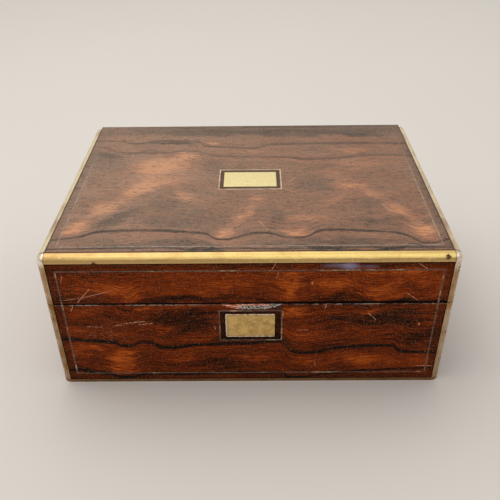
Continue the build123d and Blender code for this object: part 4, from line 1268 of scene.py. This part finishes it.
def grow(name, tree, paths, inputs, material, body):
    """A piece that geometry nodes grow along paths of (points, facing), made a plain mesh."""
    shape = bmesh.new()
    layer = shape.verts.layers.float_vector.new("facing")
    for points, facing in paths:
        corners = [shape.verts.new(point) for point in points]
        for corner in corners:
            corner[layer] = facing
        for start, end in zip(corners, corners[1:]):
            shape.edges.new((start, end))
    piece = placed(name, meshed(name, shape))
    modifier = piece.modifiers.new(name, "NODES")
    modifier.node_group = tree
    sockets = {item.name: item.identifier for item in tree.interface.items_tree
               if item.in_out == "INPUT"}
    for title, value in dict(inputs, Material=material).items():
        modifier[sockets[title]] = value
    baked(piece)
    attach(piece, body)
    return piece


class STATIONERY_OT_pins(BoxOperator):
    """Set the filed brass pins along the edging"""
    bl_idname = "stationery.pins"
    bl_label = "Edging Pins"

    def execute(self, context):
        palette = settings().brass
        out = EDGING * (1 - math.sqrt(0.5))
        x, y, z = HALF_WIDTH - out, HALF_DEPTH - out, HEIGHT - out
        strip_end, lid_end, base_end = 12 * MM, 8 * MM, 10 * MM
        reach_x, reach_y = TOP_HIGH.x - strip_end, HALF_DEPTH - EDGING - strip_end
        lid_low, lid_high = LID_RIM + lid_end, HEIGHT - EDGING - lid_end
        base_low, base_high = FOOT_TOP + base_end, BASE_RIM - base_end
        spacing = palette.pin_spacing
        lid_paths = [(row((-reach_x, -y, z), (reach_x, -y, z), spacing), (0, -1, 1))]
        base_paths = []
        for side in (-1, 1):
            edge = row((side * x, -reach_y, z), (side * x, reach_y, z), spacing)
            lid_paths.append((edge, (side, 0, 1)))
            for end in (-1, 1):
                facing = (side, end, 0)
                corner = (side * x, end * y)
                lid_paths.append((row((*corner, lid_low), (*corner, lid_high), spacing), facing))
                base_paths.append((row((*corner, base_low), (*corner, base_high), spacing), facing))
        metal = brass("pin brass", palette.edging, palette.tarnish, 2, tarnish=0.5)
        dirty = brass("dirty pin", palette.grime, palette.tarnish, 2)
        inputs = {"Head radius": palette.pin_radius, "Rise": palette.pin_rise}
        tree = pin_tree()
        grow("lid_edging_pins", tree, lid_paths, inputs, metal, "lid")
        grow("base_edging_pins", tree, base_paths, inputs, metal, "base")
        lid_dirty = [(((BRUISE[0] * MM, -y, z),), (0, -1, 1)),
                     ([(x, -y, height * MM) for height in DIRTY_LID_PINS], (1, -1, 0))]
        base_dirty = [(((x, -y, DIRTY_BASE_PIN * MM),), (1, -1, 0))]
        inputs = {"Head radius": palette.pin_radius * 1.25, "Rise": palette.pin_rise * 1.5}
        grow("lid_dirty_pins", tree, lid_dirty, inputs, dirty, "lid")
        grow("base_dirty_pins", tree, base_dirty, inputs, dirty, "base")
        return {"FINISHED"}


def rubbed_rim_and_painted_highlight(metal, left, foot, palette):
    """Brightens a plate's left side and foot, partly rubbed brass and partly painted highlight, and
    leaves brown dirt inside them.
    """
    recipe = Recipe(metal.node_tree)
    shader = next(node for node in metal.node_tree.nodes if node.type == "BSDF_PRINCIPLED")
    place = recipe.place()
    x, y, z = recipe.apart(place)
    wander = recipe.centred(recipe.marks(place, (2.4, 2.4, 1.6), detail=3.0, roughness=0.6), 2.2)
    reach = recipe.lowest(recipe.less(x, left / MM), recipe.less(z, foot / MM),
                          recipe.less(PLATE_HIGH.z / MM + 0.2, z))
    edge = recipe.total(reach, wander)
    brown = recipe.step(edge, 2.6, 1.2, 0.0, 0.45)
    # Painted highlight, with rubbed brass: the bright rim laid on the left side and foot.
    shine = recipe.step(edge, 1.15, 0.6, 0.0, 0.95)
    plain = shader.inputs["Base Color"].links[0].from_socket
    dirtied = recipe.blend(brown, plain, palette.tarnish)
    recipe.feed(shader.inputs["Base Color"], recipe.blend(shine, dirtied, palette.silvered_and_painted_highlight))


class STATIONERY_OT_lid_plate(BoxOperator):
    """Make the polished plate let into the lid"""
    bl_idname = "stationery.lid_plate"
    bl_label = "Lid Plate"

    def execute(self, context):
        palette = settings().brass
        low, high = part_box("lid_plate")
        outline = rounded_outline(low.xy, high.xy, 0.35 * MM)
        shape = plate_shape(outline, low.z, high.z, 0.22 * MM, axis=2)
        metal = brass("lid plate brass", palette.lid_plate, srgb(216, 184, 120), (7, 1.2, 3),
                      tarnish=0.4, roughness=0.34, patch=7.0, grain=0.35)
        plate = new_piece("polished_lid_plate", shape, metal, "lid")
        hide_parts("lid_plate")
        return {"FINISHED"}


class STATIONERY_OT_front_plate(BoxOperator):
    """Make the dull plate in the front with its worn, wavy rim"""
    bl_idname = "stationery.front_plate"
    bl_label = "Front Plate"

    def execute(self, context):
        palette = settings().brass
        low, high = PLATE_LOW, PLATE_HIGH
        inset, gap = 0.3 * MM, 0.95 * MM
        outline = wavy_outline((low.x + inset, low.z + inset), (high.x - gap, high.z - inset),
                               0.9 * MM, 0.45 * MM, 0.8 * MM)
        shape = plate_shape(outline, high.y, low.y - 0.12 * MM, 0.3 * MM, axis=1)
        metal = brass("front plate brass", palette.front_plate, srgb(172, 136, 80), (5, 5, 0.8),
                      tarnish=0.7, roughness=0.4, patch=6.0, grain=0.7)
        rubbed_rim_and_painted_highlight(metal, low.x + inset, low.z + inset, palette)
        plate = new_piece("worn_front_plate", shape, metal, "base")
        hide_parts("front_plate")
        return {"FINISHED"}


class STATIONERY_OT_rim_repair(BoxOperator):
    """Make the broken and filled rim above the front plate"""
    bl_idname = "stationery.rim_repair"
    bl_label = "Rim Repair"

    def execute(self, context):
        material = filler("filler")
        shape = welded(frame["nodes"]["rim_repair"].data)
        piece = new_piece("filled_rim", shape, material, "base")
        in_cells(piece, 0.32 * MM)
        skin = REPAIR_LOW.y + 0.6 * MM
        for vertex in piece.data.vertices:
            if vertex.co.y < skin:
                coarse = noise.noise(vertex.co / (2.6 * MM))
                gritty = noise.noise(vertex.co / (0.8 * MM))
                vertex.co.y -= (0.32 * coarse + 0.2 * gritty) * MM
        paint(piece.data, material)
        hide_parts("rim_repair")
        return {"FINISHED"}


HEAD_RADIUS = 2.4 * MM
HEAD_DEPTH = 1.5 * MM
SHANK_RADIUS = 1.1 * MM


def island_centres(mesh):
    """The middle, seen from above, of each loose solid in a mesh."""
    shape = welded(mesh)
    centres = []
    waiting = set(shape.verts)
    while waiting:
        island, edge = set(), {waiting.pop()}
        while edge:
            island |= edge
            edge = {side.other_vert(vert) for vert in edge for side in vert.link_edges} - island
        waiting -= island
        spots = [vert.co for vert in island]
        centres.append(((max(spot.x for spot in spots) + min(spot.x for spot in spots)) / 2,
                        (max(spot.y for spot in spots) + min(spot.y for spot in spots)) / 2))
    shape.free()
    return sorted(centres)


def screw_tree():
    """Geometry nodes that set a slotted, countersunk screw on each point."""
    tree, recipe, given = geometry_tree("slotted screws", "Head radius", "Head depth",
                                        "Shank radius", "Length", "Slot width", "Slot depth")
    head = recipe.add("GeometryNodeMeshCone", {
        "Vertices": 28, "Radius Top": given["Head radius"],
        "Radius Bottom": given["Shank radius"], "Depth": given["Head depth"]}, result="Mesh")
    shank = recipe.add("GeometryNodeMeshCylinder", {
        "Vertices": 16, "Radius": given["Shank radius"],
        "Depth": recipe.less(given["Length"], given["Head depth"])}, result="Mesh")
    middle = recipe.product(recipe.total(given["Length"], given["Head depth"]), 0.5)
    room = recipe.together(recipe.product(given["Head radius"], 2.4), given["Slot width"],
                           recipe.product(given["Slot depth"], 2.0))
    slotted = recipe.add("GeometryNodeMeshBoolean", {
        "Mesh 1": lowered(recipe, head, given["Head depth"]),
        "Mesh 2": recipe.add("GeometryNodeMeshCube", {"Size": room}, result="Mesh")},
        result="Mesh", operation="DIFFERENCE")
    screw = tree.nodes.new("GeometryNodeJoinGeometry")
    for part in (lowered(recipe, shank, middle), slotted):
        recipe.feed(screw.inputs[0], part)
    chance = tree.nodes.new("FunctionNodeRandomValue")
    chance.data_type = "FLOAT"
    chance.inputs["Seed"].default_value = 7
    limits = [socket for socket in chance.inputs if socket.type == "VALUE" and socket.enabled]
    limits[1].default_value = math.pi
    turn = recipe.together(0.0, 0.0, next(socket for socket in chance.outputs if socket.enabled))
    spun = recipe.add("FunctionNodeRotateRotation", (aimed(recipe), turn), rotation_space="LOCAL")
    screws = recipe.add("GeometryNodeInstanceOnPoints", {
        "Points": given["Geometry"], "Instance": screw.outputs[0], "Rotation": spun})
    close_geometry(recipe, screws, given["Material"])
    return tree


class STATIONERY_OT_fittings(BoxOperator):
    """Finish the hinges, the lock, its link plate and their screws"""
    bl_idname = "stationery.fittings"
    bl_label = "Hinges and Lock"

    def execute(self, context):
        palette = settings().brass
        cast = brass("fitting brass", palette.fitting, srgb(122, 92, 50), (6, 1, 1), tarnish=0.6,
                     roughness=0.3, patch=10.0)
        dress(cast, "hinge_base_leaves", "hinge_lid_leaves", "hinge_pins", "lock_case",
              "link_plate")
        steel = brass("steel", palette.steel, srgb(72, 62, 54), (3, 3, 0.8), tarnish=0.6,
                      roughness=0.32, patch=4.0)
        dress(steel, "lock_bolt")
        tree = screw_tree()
        for body, facing in (("base", 1), ("lid", -1)):
            node = f"{body}_hinge_screws"
            low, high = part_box(node)
            face = high.z if facing > 0 else low.z
            places = [((x, y, face),) for x, y in island_centres(frame["nodes"][node].data)]
            inputs = {"Head radius": HEAD_RADIUS, "Head depth": HEAD_DEPTH,
                      "Shank radius": SHANK_RADIUS, "Length": high.z - low.z,
                      "Slot width": palette.slot_width, "Slot depth": palette.slot_depth}
            screws = grow(f"{body}_slotted_screws", tree, [(spot, (0, 0, facing)) for spot in places],
                          inputs, steel, body)
            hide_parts(node)
        return {"FINISHED"}


class STATIONERY_OT_inkwells(BoxOperator):
    """Finish the two glass ink bottles with their brass collars and caps"""
    bl_idname = "stationery.inkwells"
    bl_label = "Ink Bottles"

    def execute(self, context):
        palette = settings().brass
        turned = brass("turned brass", palette.fitting, srgb(140, 106, 60), (6, 6, 0.5),
                       tarnish=0.5, roughness=0.22, patch=6.0)
        glass = bottle_glass("bottle glass")
        for side in ("left", "right"):
            dress(turned, f"inkwell_collar_{side}", f"inkwell_cap_{side}")
            dress(glass, f"inkwell_glass_{side}")
        dress(turned, "inkwell_pins")
        return {"FINISHED"}


def cloth_grid(low, high, level, cells, wave):
    """A flat sheet of small cells with the least rise and fall."""
    shape = bmesh.new()
    bmesh.ops.create_grid(shape, x_segments=cells[0], y_segments=cells[1], size=0.5)
    middle, span = (low + high) / 2, high - low
    for vert in shape.verts:
        vert.co.x = middle.x + vert.co.x * span.x
        vert.co.y = middle.y + vert.co.y * span.y
        vert.co.z = level + wave * noise.noise(vert.co / (30 * MM))
    return shape


class STATIONERY_OT_cloths(BoxOperator):
    """Lay the velvet on the well's floor and the baize under the box"""
    bl_idname = "stationery.cloths"
    bl_label = "Floor Velvet and Baize"

    def execute(self, context):
        palette = settings().cloth
        for name, node, nap, colour, slot, under, held in (
                ("floor_velvet", "floor_lining", 0.7, palette.lining, "well_cloth",
                 "bottom_board", "laid"),
                ("foot_baize", "foot_covering", 1.1, palette.baize, "baize",
                 "bottom_board", "stretched")):
            low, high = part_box(node)
            thickness = (high.z - low.z) * 0.7
            shape = cloth_grid(low, high, (low.z + high.z) / 2, (70, 50), 0.08 * MM)
            cloth = new_piece(name, shape, pile_cloth(name, colour, 0.5, nap, 0.35), "base",
                              smooth=True)
            wall = cloth.modifiers.new("thickness", "SOLIDIFY")
            wall.thickness = thickness
            wall.offset = 0.0
            baked(cloth)
            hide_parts(node)
        return {"FINISHED"}


def swell_pad(pad, palette):
    """Fills the pad by cloth simulation, its back held to the board and its rise capped."""
    start = [vertex.co.copy() for vertex in pad.data.vertices]
    back = max(point.z for point in start)
    held = pad.vertex_groups.new(name="held")
    held.add([index for index, point in enumerate(start) if point.z > back - 0.8 * MM], 1.0, "ADD")
    cloth = pad.modifiers.new("cloth", "CLOTH")
    facts = cloth.settings
    facts.quality = 6
    facts.mass = 0.15
    facts.use_pressure = True
    facts.uniform_pressure_force = palette.pressure
    facts.vertex_group_mass = held.name
    facts.effector_weights.gravity = 0.0
    cloth.collision_settings.use_collision = False
    scene = bpy.context.scene
    for number in range(1, 21):
        scene.frame_set(number)
    baked(pad)
    pad.vertex_groups.clear()
    for vertex, origin in zip(pad.data.vertices, start):
        move = vertex.co - origin
        if move.length > palette.swell:
            vertex.co = origin + move.normalized() * palette.swell
    scene.frame_set(1)


class STATIONERY_OT_lid_panel(BoxOperator):
    """Make the padded velvet panel inside the lid"""
    bl_idname = "stationery.lid_panel"
    bl_label = "Padded Lid Panel"

    def execute(self, context):
        palette = settings().cloth
        low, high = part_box("lid_panel")
        inset = 1.2 * MM
        shape = bmesh.new()
        bmesh.ops.create_cube(shape, size=1.0)
        slab_low = Vector((low.x + inset, low.y + inset, low.z + 2.4 * MM))
        slab_high = Vector((high.x - inset, high.y - inset, high.z))
        middle, span = (slab_low + slab_high) / 2, slab_high - slab_low
        for vert in shape.verts:
            vert.co = Vector(middle[axis] + vert.co[axis] * span[axis] for axis in range(3))
        velvet = pile_cloth("panel velvet", palette.velvet, 0.45, 0.8, 0.5)
        pad = new_piece("velvet_lid_panel", shape, velvet, "lid", smooth=True)
        in_cells(pad, palette.voxel)
        swell_pad(pad, palette)
        finer = pad.modifiers.new("finer", "SUBSURF")
        finer.levels = finer.render_levels = 1
        baked(pad)
        smoothed(pad.data)
        paint(pad.data, velvet)
        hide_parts("lid_panel")
        return {"FINISHED"}


def braid_tree():
    """Geometry nodes that lay slanting beads along a path, as the twists of a braid."""
    tree, recipe, given = geometry_tree("braid", "Bead")
    path = recipe.add("GeometryNodeMeshToCurve", (given["Geometry"],))
    spaced = recipe.add("GeometryNodeResampleCurve", {
        "Curve": path, "Length": recipe.product(given["Bead"], 0.62)}, mode="LENGTH")
    bead = recipe.add("GeometryNodeMeshUVSphere", {
        "Segments": 8, "Rings": 5, "Radius": recipe.product(given["Bead"], 0.5)}, result="Mesh")
    tangent = recipe.add("GeometryNodeInputTangent")
    aim = recipe.add("FunctionNodeAlignRotationToVector", {"Vector": tangent}, axis="X")
    slant = recipe.add("FunctionNodeRotateRotation", (aim, (0.0, 0.0, math.radians(38))),
                       rotation_space="LOCAL")
    beads = recipe.add("GeometryNodeInstanceOnPoints", {
        "Points": spaced, "Instance": bead, "Rotation": slant, "Scale": (1.05, 0.55, 0.6)})
    close_geometry(recipe, beads, given["Material"], smooth=True)
    return tree


class STATIONERY_OT_braid(BoxOperator):
    """Lay the gilt braid round the padded panel"""
    bl_idname = "stationery.braid"
    bl_label = "Panel Braid"

    def execute(self, context):
        palette = settings().cloth
        low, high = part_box("lid_panel")
        bead = palette.braid_bead
        level = low.z + 1.9 * MM
        corners = [(low.x, low.y), (high.x, low.y), (high.x, high.y), (low.x, high.y)]
        inset = bead * 0.55
        points = [Vector((x - math.copysign(inset, x), y - math.copysign(inset, y), level))
                  for x, y in corners]
        paths = [((*points, points[0]), (0, 0, -1))]
        thread = pile_cloth("braid thread", palette.braid, 0.5, 0.4, 0.2)
        grow("panel_braid", braid_tree(), paths, {"Bead": bead}, thread, "lid")
        return {"FINISHED"}


# The softbox in metres, and the camera in millimetres as fitted to the photograph

SOFTBOX_SIZE = (1.5, 0.9)
SOFTBOX_PLACE = (-0.35, 0.25, 1.35)
SOFTBOX_TARGET = Vector((0.0, 0.0, 0.06))
CAMERA_PLACE = Vector((4.8, -477.9, 383.4))
CAMERA_TARGET = Vector((-0.4, 0.0, 52.2))
CAMERA_ROLL = math.radians(-0.748)
LENS = 45.84


class STATIONERY_OT_stage(BoxOperator):
    """Set the pale floor, the soft light and the camera"""
    bl_idname = "stationery.stage"
    bl_label = "Studio Stage"

    def execute(self, context):
        palette = settings().stage
        self.lay_floor(palette)
        self.light_world(palette)
        self.hang_softbox(palette)
        self.place_camera()
        context.scene.view_settings.view_transform = "Standard"
        return {"FINISHED"}

    def lay_floor(self, palette):
        shape = bmesh.new()
        bmesh.ops.create_grid(shape, x_segments=24, y_segments=24, size=6.0)
        floor = placed("floor", meshed("floor", shape))
        paint(floor.data, floor_paint("floor paint", palette.floor))

    def light_world(self, palette):
        world = bpy.data.worlds.new("studio")
        bpy.context.scene.world = world
        world.use_nodes = True
        tree = world.node_tree
        tree.nodes.clear()
        recipe = Recipe(tree)
        x, y, z = recipe.apart(recipe.add("TexCoord", result="Generated"))
        lean = recipe.total(y, recipe.product(z, 0.7))
        depth = recipe.step(lean, -0.75, 0.6, palette.front_dimming, palette.back_strength)
        strength = recipe.product(depth, recipe.step(x, -0.9, 0.9, palette.left_strength,
                                                     palette.right_strength))
        light = recipe.add("Background", {"Color": palette.sky, "Strength": strength})
        backdrop = recipe.step(lean, -0.75, 0.6, palette.backdrop_front, 1.0)
        shine = recipe.product(recipe.step(z, 0.3, 0.62), recipe.step(y, 0.1, -0.3),
                               palette.front_shine)
        pale = recipe.add("Background", {"Color": palette.floor,
                                         "Strength": recipe.total(backdrop, shine)})
        rays = tree.nodes.new("ShaderNodeLightPath").outputs
        seen = recipe.highest(rays["Is Camera Ray"], rays["Is Glossy Ray"],
                              rays["Is Transmission Ray"])
        both = recipe.add("MixShader", (seen, light, pale))
        tree.links.new(both, tree.nodes.new("ShaderNodeOutputWorld").inputs[0])

    def hang_softbox(self, palette):
        lamp = bpy.data.lights.new("softbox", "AREA")
        lamp.shape = "RECTANGLE"
        lamp.size, lamp.size_y = SOFTBOX_SIZE
        lamp.energy = palette.key_power
        softbox = placed("softbox", lamp)
        softbox.location = SOFTBOX_PLACE
        aim = SOFTBOX_TARGET - softbox.location
        softbox.rotation_euler = aim.to_track_quat("-Z", "Y").to_euler()

    def place_camera(self):
        view = bpy.data.cameras.new("camera")
        view.lens = LENS
        view.sensor_width = 36.0
        camera = placed("camera", view)
        camera.location = CAMERA_PLACE * MM
        look = CAMERA_TARGET * MM - camera.location
        roll = Matrix.Rotation(CAMERA_ROLL, 4, "Z")
        turn = look.to_track_quat("-Z", "Y").to_matrix().to_4x4() @ roll
        camera.rotation_euler = turn.to_euler()
        bpy.context.scene.camera = camera


STEPS = (
    STATIONERY_OT_rosewood, STATIONERY_OT_timber, STATIONERY_OT_edging, STATIONERY_OT_pins,
    STATIONERY_OT_lid_plate, STATIONERY_OT_front_plate, STATIONERY_OT_rim_repair,
    STATIONERY_OT_fittings, STATIONERY_OT_inkwells, STATIONERY_OT_cloths, STATIONERY_OT_lid_panel,
    STATIONERY_OT_braid, STATIONERY_OT_stage,
)


class STATIONERY_PT_box(bpy.types.Panel):
    """The steps of the stationery box in the sidebar"""
    bl_idname = "STATIONERY_PT_box"
    bl_label = "Stationery Box"
    bl_space_type = "VIEW_3D"
    bl_region_type = "UI"
    bl_category = "Stationery Box"

    def draw(self, context):
        for step in STEPS:
            self.layout.operator(step.bl_idname)
        for name in ("rosewood", "brass", "cloth", "stage"):
            group = getattr(settings(), name)
            column = self.layout.box().column()
            column.label(text=name.capitalize())
            for title in group.__annotations__:
                column.prop(group, title)


CLASSES = (RosewoodSettings, BrassSettings, ClothSettings, StageSettings, BoxSettings, *STEPS,
           STATIONERY_PT_box)


def register():
    for item in CLASSES:
        bpy.utils.register_class(item)
    bpy.types.Scene.stationery_box = bpy.props.PointerProperty(
        type=BoxSettings, name="Stationery Box", description="The box's settings")


def unregister():
    del bpy.types.Scene.stationery_box
    for item in reversed(CLASSES):
        bpy.utils.unregister_class(item)


def clear_strays():
    """Takes out what Blender's own opening scene holds."""
    kept = set(frame["nodes"].values()) | set(frame["bodies"].values())
    for item in list(bpy.data.objects):
        if item not in kept:
            bpy.data.objects.remove(item)


def main():
    """Registers the add-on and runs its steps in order."""
    clear_strays()
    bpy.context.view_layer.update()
    register()
    for step in STEPS:
        group, name = step.bl_idname.split(".")
        getattr(getattr(bpy.ops, group), name)()


if __name__ == "__main__":
    main()
